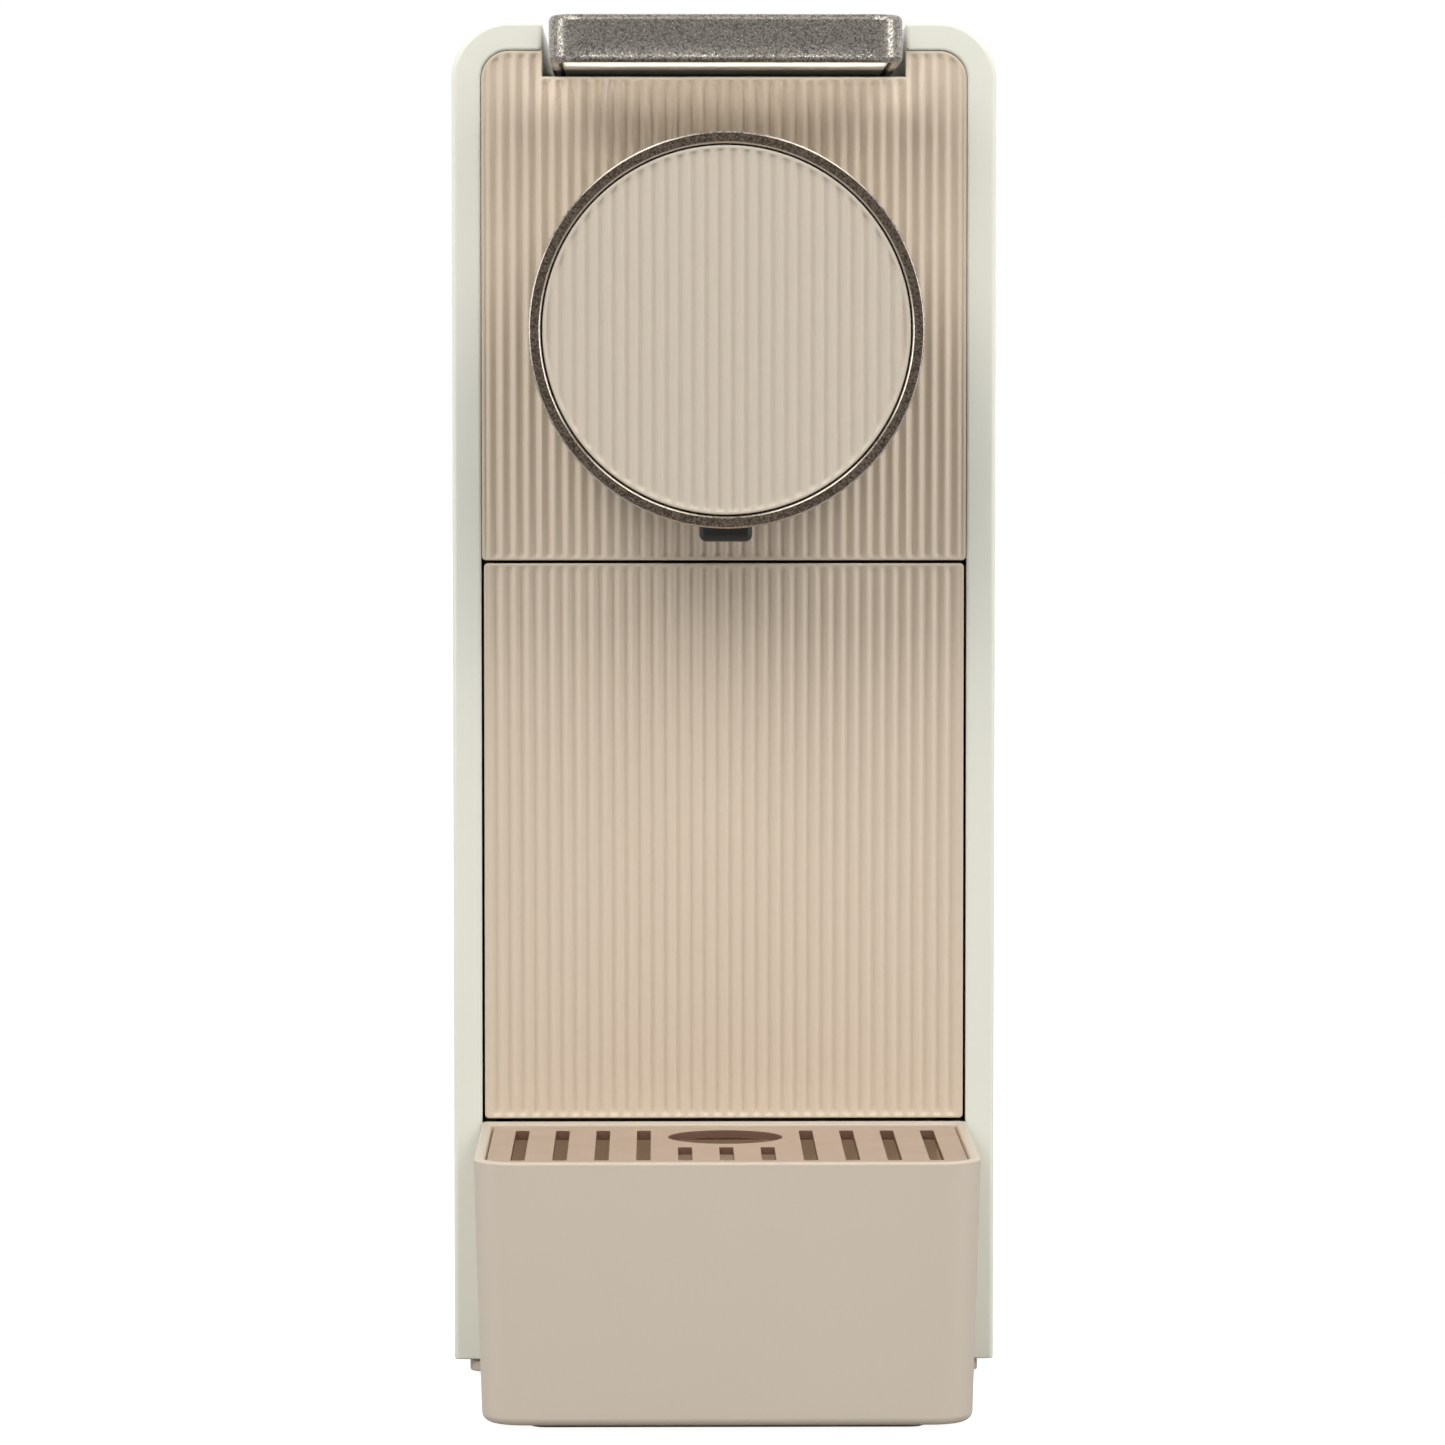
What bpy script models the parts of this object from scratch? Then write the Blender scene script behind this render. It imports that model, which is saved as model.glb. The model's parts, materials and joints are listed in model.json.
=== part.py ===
"""Slim capsule coffee machine, modelled as an assembly of named pieces.

Metres, +Z up. The front faces -Y and the origin is the centre of the footprint, on the table.
Opening the lever turns two cam plates, which draw the brew carriage back to let a capsule fall in.
"""

import math

import bmesh
import bpy
from mathutils import Matrix, Vector

# ------------------------------------------------------------------ driving dimensions
GAP = 0.0003  # clearance between pieces that touch
WALL = 0.0025  # moulded wall of the body
THIN = 0.002  # moulded wall of trays, tank and bin

SHELL_HALF = 0.053  # half width over the side covers
SHELL_FRONT, SHELL_REAR = -0.100, 0.115
SHELL_BOTTOM, SHELL_TOP = 0.0033, 0.2653
SHELL_RADIUS = 0.0112  # outer shoulder corner
BAND = 0.0056  # front band that frames the panels
SHOULDER_END = 0.0353  # half width of the open top between the shoulders
LIP_BOTTOM = 0.2523  # lower edge of the lips beside that opening
SPLIT = 0.1602  # height of the seam between the two front panels

BASE_HALF, BASE_TOP, BASE_BOTTOM = 0.050, 0.003, 0.0008
BASE_REAR = 0.163
PLATFORM_TOP = 0.022  # what the tank stands over

CHASSIS_IN, CHASSIS_OUT = 0.0445, 0.047
CHASSIS_FRONT, CHASSIS_REAR, CHASSIS_TOP = -0.0965, 0.1115, 0.2491
DECK_REAR = 0.008

HEAD_Z, HEAD_RADIUS, DISC_RADIUS = 0.2049, 0.0372, 0.0346
HEAD_FRONT = -0.145
SPOUT_Y, SPOUT_BOTTOM = -0.126, 0.1657

TRAY_HALF, TRAY_HALF_LOW = 0.0474, 0.0459
TRAY_FRONT, TRAY_TOP, TRAY_BOTTOM = -0.165, 0.0505, 0.0012
TRAY_CORNER = 0.008
GRILLE_TOP = 0.050

LEVER_HALF, LEVER_FRONT = 0.0336, -0.133
LEVER_BOTTOM, LEVER_TOP = 0.2556, 0.2647
PIVOT = Vector((0.0, 0.020, 0.244))
PIVOT_RADIUS = 0.003
LEVER_OPEN = math.radians(75)
CARRIAGE_STROKE = 0.030
PIN_Y, PIN_Z, PIN_RADIUS = -0.028, 0.215, 0.0025  # guide pins with the lever closed
CAM_IN, CAM_OUT = 0.0275, 0.030

BREW_Z, CARRIAGE_RADIUS = 0.205, 0.023
PLATE_FRONT, PLATE_BACK = -0.086, -0.080

TANK_FRONT, TANK_REAR = 0.116, 0.165
TANK_BOTTOM, TANK_TOP = 0.024, 0.2495
TANK_CORNER = 0.012
VALVE_Y = 0.140
LID_BOTTOM, LID_TOP = 0.2503, 0.2541
LID_PIVOT = Vector((0.0, 0.1635, 0.2522))

TOP_COVER_FRONT = 0.038
BUTTON_X, BUTTON_Y, BUTTON_RADIUS = 0.014, 0.075, 0.008

# Each finish is a base colour, a roughness and a metallic value.
FINISHES = {
    "cream": ((0.74, 0.73, 0.64), 0.35, 0.0),
    "beige": ((0.60, 0.50, 0.39), 0.45, 0.0),
    "grille": ((0.48, 0.36, 0.27), 0.45, 0.0),
    "champagne": ((0.33, 0.30, 0.27), 0.35, 0.9),
    "bronze": ((0.16, 0.12, 0.09), 0.4, 0.8),
    "black": ((0.03, 0.03, 0.03), 0.5, 0.0),
    "smoke": ((0.25, 0.27, 0.28), 0.1, 0.0),
    "rubber": ((0.05, 0.05, 0.05), 0.8, 0.0),
    "silicone": ((0.55, 0.55, 0.52), 0.6, 0.0),
    "steel": ((0.55, 0.55, 0.56), 0.3, 1.0),
    "aluminium": ((0.62, 0.62, 0.62), 0.45, 1.0),
    "board": ((0.04, 0.16, 0.08), 0.5, 0.0),
}

PLANES = {
    "XY": (Matrix.Identity(4), Vector((0, 0, 1))),
    "XZ": (Matrix.Rotation(math.pi / 2, 4, "X"), Vector((0, 1, 0))),
    "YZ": (
        Matrix(((0, 0, 1, 0), (1, 0, 0, 0), (0, 1, 0, 0), (0, 0, 0, 1))),
        Vector((1, 0, 0)),
    ),
}


# ------------------------------------------------------------------ scene
def clear_scene():
    for obj in list(bpy.data.objects):
        bpy.data.objects.remove(obj, do_unlink=True)


def new_collection(name):
    collection = bpy.data.collections.new(name)
    bpy.context.scene.collection.children.link(collection)
    return collection


clear_scene()
MODEL = new_collection("capsule_coffee_machine")
CUTTERS = new_collection("cutters")


def keep(obj, finish, rides_on=None):
    """Files a finished piece in the model, with its own material, on the empty of its joint."""
    colour, roughness, metallic = FINISHES[finish]
    material = bpy.data.materials.new(obj.name)
    material.use_nodes = True
    shader = material.node_tree.nodes["Principled BSDF"]
    shader.inputs["Base Color"].default_value = (*colour, 1.0)
    shader.inputs["Roughness"].default_value = roughness
    shader.inputs["Metallic"].default_value = metallic
    obj.data.materials.clear()
    obj.data.materials.append(material)
    MODEL.objects.link(obj)
    if rides_on:
        obj.parent = rides_on
        obj.matrix_parent_inverse = Matrix.Translation(-rides_on.location)
    return obj


def joint(name, location, parent=None):
    """An empty on a joint's axis, which the moving pieces are parented to."""
    empty = bpy.data.objects.new(name, None)
    empty.empty_display_size = 0.01
    empty.location = location
    MODEL.objects.link(empty)
    if parent:
        empty.parent = parent
        empty.matrix_parent_inverse = Matrix.Translation(-parent.location)
    return empty


def boolean(obj, operation, others):
    for other in others:
        CUTTERS.objects.link(other)
        other.hide_render = True
        other.display_type = "WIRE"
        modifier = obj.modifiers.new(other.name, "BOOLEAN")
        modifier.operation = operation
        modifier.object = other
    return obj


def cut(obj, *others):
    return boolean(obj, "DIFFERENCE", others)


def join(obj, *others):
    return boolean(obj, "UNION", others)


# ------------------------------------------------------------------ outlines
def fillet(corners, steps=5):
    """Closed outline of straight sides through (u, v, radius) corners, each rounded by its radius."""
    outline = []
    for i, (u, v, radius) in enumerate(corners):
        here = Vector((u, v))
        if not radius:
            outline.append(here)
            continue
        back = (Vector(corners[i - 1][:2]) - here).normalized()
        ahead = (Vector(corners[(i + 1) % len(corners)][:2]) - here).normalized()
        half = back.angle(ahead) / 2
        centre = here + (back + ahead).normalized() * radius / math.sin(half)
        start = here + back * radius / math.tan(half) - centre
        sweep = (math.pi - 2 * half) * (-1 if back.cross(ahead) > 0 else 1)
        outline += [
            centre + Matrix.Rotation(sweep * k / steps, 2) @ start
            for k in range(steps + 1)
        ]
    return outline


def rectangle(u, v, radius=0.0, steps=4):
    (u0, u1), (v0, v1) = u, v
    corners = [(u0, v0, radius), (u1, v0, radius), (u1, v1, radius), (u0, v1, radius)]
    return fillet(corners, steps)


def arc(centre, radius, start, end, steps):
    """Points on an arc from one angle to another, in degrees."""
    angles = [math.radians(start + (end - start) * k / steps) for k in range(steps + 1)]
    return [
        Vector((centre[0] + radius * math.cos(a), centre[1] + radius * math.sin(a)))
        for a in angles
    ]


def circle(u, v, radius, steps=32):
    return arc((u, v), radius, 0, 360 * (steps - 1) / steps, steps - 1)


def ribbon(path, half_width, cap_steps=5):
    """Outline at one distance all round an open path, with round ends."""

    def side(points):
        found = []
        for i, point in enumerate(points):
            run = points[min(i + 1, len(points) - 1)] - points[max(i - 1, 0)]
            found.append(point + run.normalized().orthogonal() * half_width)
        return found

    def cap(end, before):
        heading = math.degrees(math.atan2(*reversed(end - before)))
        return arc(end, half_width, heading + 90, heading - 90, cap_steps)[1:-1]

    back = list(reversed(path))
    return side(path) + cap(path[-1], path[-2]) + side(back) + cap(back[-1], back[-2])


# ------------------------------------------------------------------ solids
def put(name, bm, location=(0, 0, 0)):
    bmesh.ops.recalc_face_normals(bm, faces=bm.faces)
    mesh = bpy.data.meshes.new(name)
    bm.to_mesh(mesh)
    bm.free()
    obj = bpy.data.objects.new(name, mesh)
    obj.location = location
    return obj


def block(name, x, y, z):
    """A box between pairs of coordinates."""
    size = [high - low for low, high in (x, y, z)]
    middle = [(high + low) / 2 for low, high in (x, y, z)]
    bm = bmesh.new()
    bmesh.ops.create_cube(bm, size=1, matrix=Matrix.Diagonal((*size, 1)))
    return put(name, bm, middle)


def rod(name, start, end, radius, segments=20):
    """A cylinder from one point to another."""
    start, end = Vector(start), Vector(end)
    bm = bmesh.new()
    bmesh.ops.create_cone(
        bm,
        cap_ends=True,
        segments=segments,
        radius1=radius,
        radius2=radius,
        depth=(end - start).length,
    )
    turn = (end - start).to_track_quat("Z", "Y").to_matrix()
    bmesh.ops.rotate(bm, matrix=turn, verts=bm.verts)
    obj = put(name, bm, (start + end) / 2)
    smooth(obj)
    return obj


def smooth(obj):
    obj.data.shade_smooth()
    obj.data.set_sharp_from_angle(angle=math.radians(40))


def mesh_of(guide):
    """The mesh of a curve object, welded, as a new object in its place."""
    bpy.context.scene.collection.objects.link(guide)
    bpy.context.view_layer.update()
    evaluated = guide.evaluated_get(bpy.context.evaluated_depsgraph_get())
    mesh = bpy.data.meshes.new_from_object(evaluated)
    bm = bmesh.new()
    bm.from_mesh(mesh)
    bmesh.ops.remove_doubles(bm, verts=bm.verts, dist=1e-6)
    name, matrix, curve = guide.name, guide.matrix_world.copy(), guide.data
    bpy.data.objects.remove(guide)
    bpy.data.curves.remove(curve)
    bpy.data.meshes.remove(mesh)
    obj = put(name, bm)
    obj.matrix_world = matrix
    return obj


def plate(name, plane, low, high, outline, *holes):
    """A flat piece: an outline less its holes, between two places along the plane's axis."""
    turn, axis = PLANES[plane]
    curve = bpy.data.curves.new(name, "CURVE")
    curve.dimensions = "2D"
    curve.fill_mode = "BOTH"
    curve.extrude = (high - low) / 2
    for loop in (outline, *holes):
        spline = curve.splines.new("POLY")
        spline.points.add(len(loop) - 1)
        for point, (u, v) in zip(spline.points, loop):
            point.co = (u, v, 0, 1)
        spline.use_cyclic_u = True
    guide = bpy.data.objects.new(name, curve)
    guide.matrix_world = Matrix.Translation(axis * (low + high) / 2) @ turn
    return mesh_of(guide)


def turned(name, base, along, profile, steps=24):
    """A solid of revolution: (radius, height) points from the top down the outer side."""
    mesh = bpy.data.meshes.new(name)
    points = [(radius, 0, height) for radius, height in profile]
    closed = profile[0][0] > 0
    edges = [(i, i + 1) for i in range(len(points) - 1)]
    if closed:
        edges.append((len(points) - 1, 0))
    mesh.from_pydata(points, edges, [])
    obj = bpy.data.objects.new(name, mesh)
    obj.location = base
    obj.rotation_euler = Vector(along).to_track_quat("Z", "Y").to_euler()
    screw = obj.modifiers.new("Screw", "SCREW")
    screw.axis = "Z"
    screw.steps = screw.render_steps = steps
    screw.use_merge_vertices = True
    screw.merge_threshold = 1e-5
    screw.use_smooth_shade = False
    return obj


def ring(name, base, along, inner, outer, height, steps=20):
    profile = [(inner, height), (outer, height), (outer, 0), (inner, 0)]
    return turned(name, base, along, profile, steps)


def hose(name, points, radius):
    """A round tube along a smooth curve through its points."""
    curve = bpy.data.curves.new(name, "CURVE")
    curve.dimensions = "3D"
    curve.bevel_depth = radius
    curve.bevel_resolution = 2
    curve.resolution_u = 3
    curve.use_fill_caps = True
    spline = curve.splines.new("BEZIER")
    spline.bezier_points.add(len(points) - 1)
    for knot, place in zip(spline.bezier_points, points):
        knot.co = place
        knot.handle_left_type = knot.handle_right_type = "AUTO"
    return mesh_of(bpy.data.objects.new(name, curve))


def sides(inner, outer, side):
    """The pair of x coordinates of a piece that lies between two distances on one side."""
    return (inner, outer) if side > 0 else (-outer, -inner)


SIDES = {"left": -1, "right": 1}


# ------------------------------------------------------------------ body
def side_covers():
    inner = SHELL_HALF - WALL
    lip = SHOULDER_END + THIN
    soft, past = 0.0008, 0.001
    inner_edge = SHOULDER_END - past
    for word, side in SIDES.items():
        outer = [
            (side * SHELL_HALF, SHELL_BOTTOM, soft),
            (side * SHELL_HALF, SHELL_TOP, SHELL_RADIUS),
            (side * SHOULDER_END, SHELL_TOP, soft),
            (side * SHOULDER_END, SHELL_BOTTOM, 0),
        ]
        behind_walls = [
            (side * inner_edge, SHELL_BOTTOM - past, 0),
            (side * inner_edge, LIP_BOTTOM, 0),
            (side * lip, LIP_BOTTOM, 0),
            (side * lip, SHELL_TOP - WALL, 0),
            (side * inner, SHELL_TOP - WALL, SHELL_RADIUS - WALL),
            (side * inner, SHELL_BOTTOM - past, 0),
        ]
        inside_band = [
            (side * inner_edge, SHELL_BOTTOM - past, 0),
            (side * inner_edge, SHELL_TOP - BAND, 0),
            (side * (SHELL_HALF - BAND), SHELL_TOP - BAND, SHELL_RADIUS - BAND),
            (side * (SHELL_HALF - BAND), SHELL_BOTTOM - past, 0),
        ]
        band_back = SHELL_FRONT + WALL + GAP
        cover = plate(f"{word}_cover", "XZ", SHELL_FRONT, SHELL_REAR, fillet(outer, 6))
        cut(
            cover,
            plate(f"{word}_inside", "XZ", band_back, SHELL_REAR + past, fillet(behind_walls, 6)),
            plate(
                f"{word}_window", "XZ", SHELL_FRONT - past, band_back + 0.0001, fillet(inside_band, 6)
            ),
        )
        keep(cover, "cream")


def front_upper_panel():
    half = SHELL_HALF - BAND - GAP
    top = SHELL_TOP - BAND - GAP
    notch_floor, soft, opening = 0.2546, 0.0006, 0.028
    right = [
        (half, SPLIT + GAP, 0),
        (half, top, SHELL_RADIUS - BAND - GAP),
        (SHOULDER_END, top, soft),
        (SHOULDER_END, notch_floor, soft),
    ]
    left = [(-x, z, radius) for x, z, radius in reversed(right)]
    panel = plate(
        "front_upper_panel",
        "XZ",
        SHELL_FRONT + GAP,
        SHELL_FRONT + WALL,
        fillet(right + left),
        circle(0, HEAD_Z, opening),
    )
    keep(panel, "beige")


def rear_cover():
    inner = SHELL_HALF - WALL - GAP
    top = SHELL_TOP - WALL - GAP
    lip = SHOULDER_END + THIN + GAP
    rear = SHELL_REAR - 0.0005
    right = [
        (inner, PLATFORM_TOP + GAP, 0),
        (inner, top, SHELL_RADIUS - WALL - GAP),
        (lip, top, 0),
        (lip, LIP_BOTTOM - GAP, 0),
    ]
    left = [(-x, z, radius) for x, z, radius in reversed(right)]
    cover = plate("rear_cover", "XZ", rear - WALL, rear, fillet(right + left))
    screw_x, screw_z, shank, head = 0.039, 0.235, 0.0015, 0.003
    seat = rear - 0.0012
    for word, side in SIDES.items():
        x = side * screw_x
        cut(
            cover,
            rod(f"{word}_screw_hole", (x, 0.105, screw_z), (x, 0.12, screw_z), shank + GAP),
            rod(f"{word}_screw_seat", (x, seat, screw_z), (x, 0.12, screw_z), head + GAP),
        )
        screw = turned(
            f"rear_screw_{word}",
            (x, CHASSIS_REAR - 0.008, screw_z),
            (0, 1, 0),
            [(0, 0.0113), (head, 0.0113), (head, 0.0102), (shank, 0.0102), (shank, 0), (0, 0)],
            steps=16,
        )
        keep(screw, "steel")
    keep(cover, "cream")


def rear_top_cover():
    half, rear = SHOULDER_END - GAP, SHELL_REAR - 0.0002
    top = SHELL_TOP - 0.0004
    under = top - WALL
    front_lip = TOP_COVER_FRONT + 0.0035
    lip_low, rear_low = 0.240, LIP_BOTTOM
    edge = fillet(
        [
            (TOP_COVER_FRONT, under, 0),
            (front_lip, under, 0),
            (front_lip, lip_low, 0),
            (front_lip + THIN, lip_low, 0),
            (front_lip + THIN, under, 0),
            (rear - WALL, under, 0),
            (rear - WALL, rear_low, 0),
            (rear, rear_low, 0),
            (rear, top, 0.002),
            (TOP_COVER_FRONT, top, 0.0008),
        ]
    )
    cover = plate("rear_top_cover", "YZ", -half, half, edge)
    post_radius, post_low, post_y = 0.0025, 0.2469, 0.0655
    for word, side in SIDES.items():
        x = side * 0.021
        join(
            cover,
            rod(f"{word}_post", (x, post_y, post_low), (x, post_y, under + 0.001), post_radius, 12),
        )
        x = side * BUTTON_X
        hole = rod(
            f"{word}_button_hole",
            (x, BUTTON_Y, under - 0.001),
            (x, BUTTON_Y, top + 0.001),
            BUTTON_RADIUS + GAP,
            24,
        )
        cut(cover, hole)
    keep(cover, "cream")


def base():
    slab = plate(
        "base_tub",
        "XY",
        BASE_BOTTOM,
        BASE_TOP,
        fillet(
            [
                (-BASE_HALF, SHELL_FRONT + 0.0005, 0.003),
                (BASE_HALF, SHELL_FRONT + 0.0005, 0.003),
                (BASE_HALF, BASE_REAR, TANK_CORNER),
                (-BASE_HALF, BASE_REAR, TANK_CORNER),
            ]
        ),
    )
    platform_front = TANK_FRONT - 0.0004
    platform = plate(
        "platform",
        "XY",
        BASE_TOP - 0.0005,
        PLATFORM_TOP,
        fillet(
            [
                (-BASE_HALF, platform_front, 0),
                (BASE_HALF, platform_front, 0),
                (BASE_HALF, BASE_REAR, TANK_CORNER),
                (-BASE_HALF, BASE_REAR, TANK_CORNER),
            ]
        ),
    )
    hollow = plate(
        "platform_hollow",
        "XY",
        BASE_TOP,
        PLATFORM_TOP - THIN,
        fillet(
            [
                (-BASE_HALF + WALL, platform_front - 0.002, 0),
                (BASE_HALF - WALL, platform_front - 0.002, 0),
                (BASE_HALF - WALL, BASE_REAR - WALL, TANK_CORNER - WALL),
                (-BASE_HALF + WALL, BASE_REAR - WALL, TANK_CORNER - WALL),
            ]
        ),
    )
    join(slab, platform)
    for name, y in (("front", 0.020), ("rear", 0.080)):
        join(slab, block(f"pump_post_{name}", (-0.030, -0.010), (y - 0.004, y + 0.004), (0.0025, 0.0087)))
    cut(
        slab,
        hollow,
        rod("valve_hole", (0, VALVE_Y, 0.019), (0, VALVE_Y, 0.023), 0.0072),
        rod("gland_hole", (0.030, 0.157, 0.0115), (0.030, 0.166, 0.0115), 0.0053),
    )
    foot_radius, foot_height = 0.007, 0.0017
    for end, y in (("front", -0.085), ("rear", 0.145)):
        for word, side in SIDES.items():
            x = side * 0.038
            cut(
                slab,
                rod(f"foot_seat_{end}_{word}", (x, y, 0), (x, y, foot_height + GAP), foot_radius + GAP),
            )
            foot = turned(
                f"foot_{end}_{word}",
                (x, y, 0),
                (0, 0, 1),
                [
                    (0, foot_height),
                    (foot_radius, foot_height),
                    (foot_radius, 0.0003),
                    (foot_radius - 0.0003, 0),
                    (0, 0),
                ],
                steps=24,
            )
            keep(foot, "rubber")
    keep(slab, "beige")
    gland = turned(
        "cord_gland",
        (0.030, 0.157, 0.0115),
        (0, 1, 0),
        [(0.003, 0.0079), (0.0065, 0.0079), (0.0075, 0.0063), (0.005, 0.0063), (0.005, 0), (0.003, 0)],
        steps=24,
    )
    keep(gland, "black")


def chassis():
    flange = 0.034
    bottom = BASE_TOP + GAP
    for word, side in SIDES.items():
        outline = fillet(
            [
                (side * CHASSIS_IN, CHASSIS_FRONT, 0),
                (side * CHASSIS_OUT, CHASSIS_FRONT, 0),
                (side * CHASSIS_OUT, CHASSIS_REAR, 0),
                (side * flange, CHASSIS_REAR, 0),
                (side * flange, CHASSIS_REAR - WALL, 0),
                (side * CHASSIS_IN, CHASSIS_REAR - WALL, 0),
            ]
        )
        side_plate = plate(f"chassis_{word}", "XY", bottom, CHASSIS_TOP, outline)
        x = side * 0.039
        cut(
            side_plate,
            rod(
                f"chassis_pivot_{word}",
                (side * 0.040, PIVOT.y, PIVOT.z),
                (side * 0.050, PIVOT.y, PIVOT.z),
                PIVOT_RADIUS + GAP,
            ),
            rod(f"chassis_screw_{word}", (x, 0.105, 0.235), (x, 0.115, 0.235), 0.0018),
        )
        keep(side_plate, "black")
    shelf_front, shelf_rear, shelf_z = 0.046, 0.1085, 0.086
    shelf = block(
        "inner_shelf",
        (-CHASSIS_IN + GAP, CHASSIS_IN - GAP),
        (shelf_front, shelf_rear),
        (shelf_z, shelf_z + THIN),
    )
    keep(shelf, "black")


def top_deck():
    half, low, high = CHASSIS_OUT, CHASSIS_TOP + GAP, 0.2519
    slot_in, slot_out, slot_front = CAM_IN - 0.0005, CAM_OUT + 0.0005, -0.046
    right = [
        (half, CHASSIS_FRONT, 0),
        (half, DECK_REAR, 0),
        (slot_out, DECK_REAR, 0),
        (slot_out, slot_front, 0),
        (slot_in, slot_front, 0),
        (slot_in, DECK_REAR, 0),
    ]
    left = [(-x, y, radius) for x, y, radius in reversed(right)]
    mouth = rectangle((-0.020, 0.020), (-0.080, -0.049), 0.004)
    deck = plate("top_deck", "XY", low, high, fillet(right + left), mouth)
    chute = plate(
        "capsule_chute",
        "XY",
        0.2305,
        low + 0.0005,
        rectangle((-0.022, 0.022), (-0.082, -0.047), 0.006),
        mouth,
    )
    keep(join(deck, chute), "black")


# ------------------------------------------------------------------ brew head
def brew_head():
    barrel_front = HEAD_FRONT + 0.004
    barrel_outer, barrel_wall = HEAD_RADIUS - 0.0006, 0.0025
    length = SHELL_FRONT - barrel_front
    barrel = turned(
        "head_barrel",
        (0, SHELL_FRONT, HEAD_Z),
        (0, -1, 0),
        [
            (0, length),
            (barrel_outer, length),
            (barrel_outer, 0),
            (barrel_outer - barrel_wall, 0),
            (barrel_outer - barrel_wall, length - barrel_wall),
            (0, length - barrel_wall),
        ],
        steps=48,
    )
    spout_half, spout_y = 0.005, (SPOUT_Y - 0.006, SPOUT_Y + 0.006)
    slack = 0.0004
    cut(
        barrel,
        block(
            "spout_slot",
            (-spout_half - slack, spout_half + slack),
            (spout_y[0] - slack, spout_y[1] + slack),
            (SPOUT_BOTTOM, 0.176),
        ),
    )
    keep(barrel, "bronze")
    ring_depth = 0.0037
    head_ring = ring(
        "head_ring",
        (0, HEAD_FRONT + ring_depth, HEAD_Z),
        (0, -1, 0),
        DISC_RADIUS + 0.00035,
        HEAD_RADIUS,
        ring_depth,
        64,
    )
    keep(head_ring, "bronze")
    disc = rod(
        "head_disc",
        (0, HEAD_FRONT + ring_depth, HEAD_Z),
        (0, HEAD_FRONT + 0.0002, HEAD_Z),
        DISC_RADIUS,
        64,
    )
    keep(disc, "beige")

    chamfer, spout_top = 0.0022, 0.176
    spout = plate(
        "spout_nozzle",
        "XZ",
        *spout_y,
        fillet(
            [
                (-spout_half + chamfer, SPOUT_BOTTOM, 0),
                (spout_half - chamfer, SPOUT_BOTTOM, 0),
                (spout_half, SPOUT_BOTTOM + chamfer, 0),
                (spout_half, spout_top, 0),
                (-spout_half, spout_top, 0),
                (-spout_half, SPOUT_BOTTOM + chamfer, 0),
            ]
        ),
    )
    cut(spout, rod("spout_bore", (0, SPOUT_Y, 0.16), (0, SPOUT_Y, 0.18), 0.0024))
    join(
        spout,
        block("spout_blade", (-0.00065, 0.00065), (SPOUT_Y - 0.0045, SPOUT_Y + 0.0045), (0.1649, 0.172)),
    )
    keep(spout, "black")

    outlet_z = 0.195
    pipe = hose(
        "outlet_pipe",
        [
            (0, PLATE_FRONT - GAP, outlet_z),
            (0, -0.102, outlet_z),
            (0, -0.117, outlet_z - 0.002),
            (0, SPOUT_Y, outlet_z - 0.010),
            (0, SPOUT_Y, spout_top + GAP),
        ],
        0.004,
    )
    keep(pipe, "black")

    press_plate = block(
        "extraction_plate",
        (-CHASSIS_IN + GAP, CHASSIS_IN - GAP),
        (PLATE_FRONT, PLATE_BACK),
        (0.178, 0.230),
    )
    cut(press_plate, rod("outlet_hole", (0, -0.09, outlet_z), (0, -0.07, outlet_z), 0.003))
    keep(press_plate, "black")


def brew_frame():
    plate_in, plate_out = 0.024, 0.0265
    front, rear, low, high = PLATE_BACK + GAP, 0.017, 0.184, 0.232
    travel = [Vector((PIN_Y, PIN_Z)), Vector((PIN_Y + CARRIAGE_STROKE, PIN_Z))]
    outline = rectangle((front, rear), (low, high))
    slot = ribbon(travel, PIN_RADIUS + GAP)
    frame = plate("brew_frame", "YZ", plate_in, plate_out, outline, slot)
    other = plate("frame_left", "YZ", -plate_out, -plate_in, outline, slot)
    bridge = block("frame_bridge", (-plate_in - 0.001, plate_in + 0.001), (rear - 0.003, rear), (low, high))
    join(frame, other, bridge)
    cut(frame, rod("frame_bore", (0, 0.01, BREW_Z), (0, 0.02, BREW_Z), 0.0028))
    keep(frame, "steel")
    tube = ring("injector_tube", (0, -0.044, BREW_Z), (0, 1, 0), 0.0012, 0.0025, 0.094)
    keep(tube, "steel")


def carriage(rides_on):
    front, rear = PLATE_BACK + 0.0005, -0.020
    cavity_radius, cavity_end = 0.017, -0.0475
    body = rod("brew_carriage", (0, front, BREW_Z), (0, rear, BREW_Z), CARRIAGE_RADIUS, 40)
    cut(
        body,
        rod("capsule_cavity", (0, front - 0.001, BREW_Z), (0, cavity_end, BREW_Z), cavity_radius, 40),
        rod("carriage_bore", (0, -0.06, BREW_Z), (0, -0.01, BREW_Z), 0.0028),
    )
    pin_in, pin_out = 0.0123, 0.0304
    for word, side in SIDES.items():
        x0, x1 = side * (pin_in - GAP), side * (pin_out + GAP)
        cut(body, rod(f"pin_hole_{word}", (x0, PIN_Y, PIN_Z), (x1, PIN_Y, PIN_Z), PIN_RADIUS + GAP))
        pin = rod(
            f"carriage_pin_{word}",
            (side * pin_in, PIN_Y, PIN_Z),
            (side * pin_out, PIN_Y, PIN_Z),
            PIN_RADIUS,
        )
        keep(pin, "steel", rides_on)
    keep(body, "black", rides_on)


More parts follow.
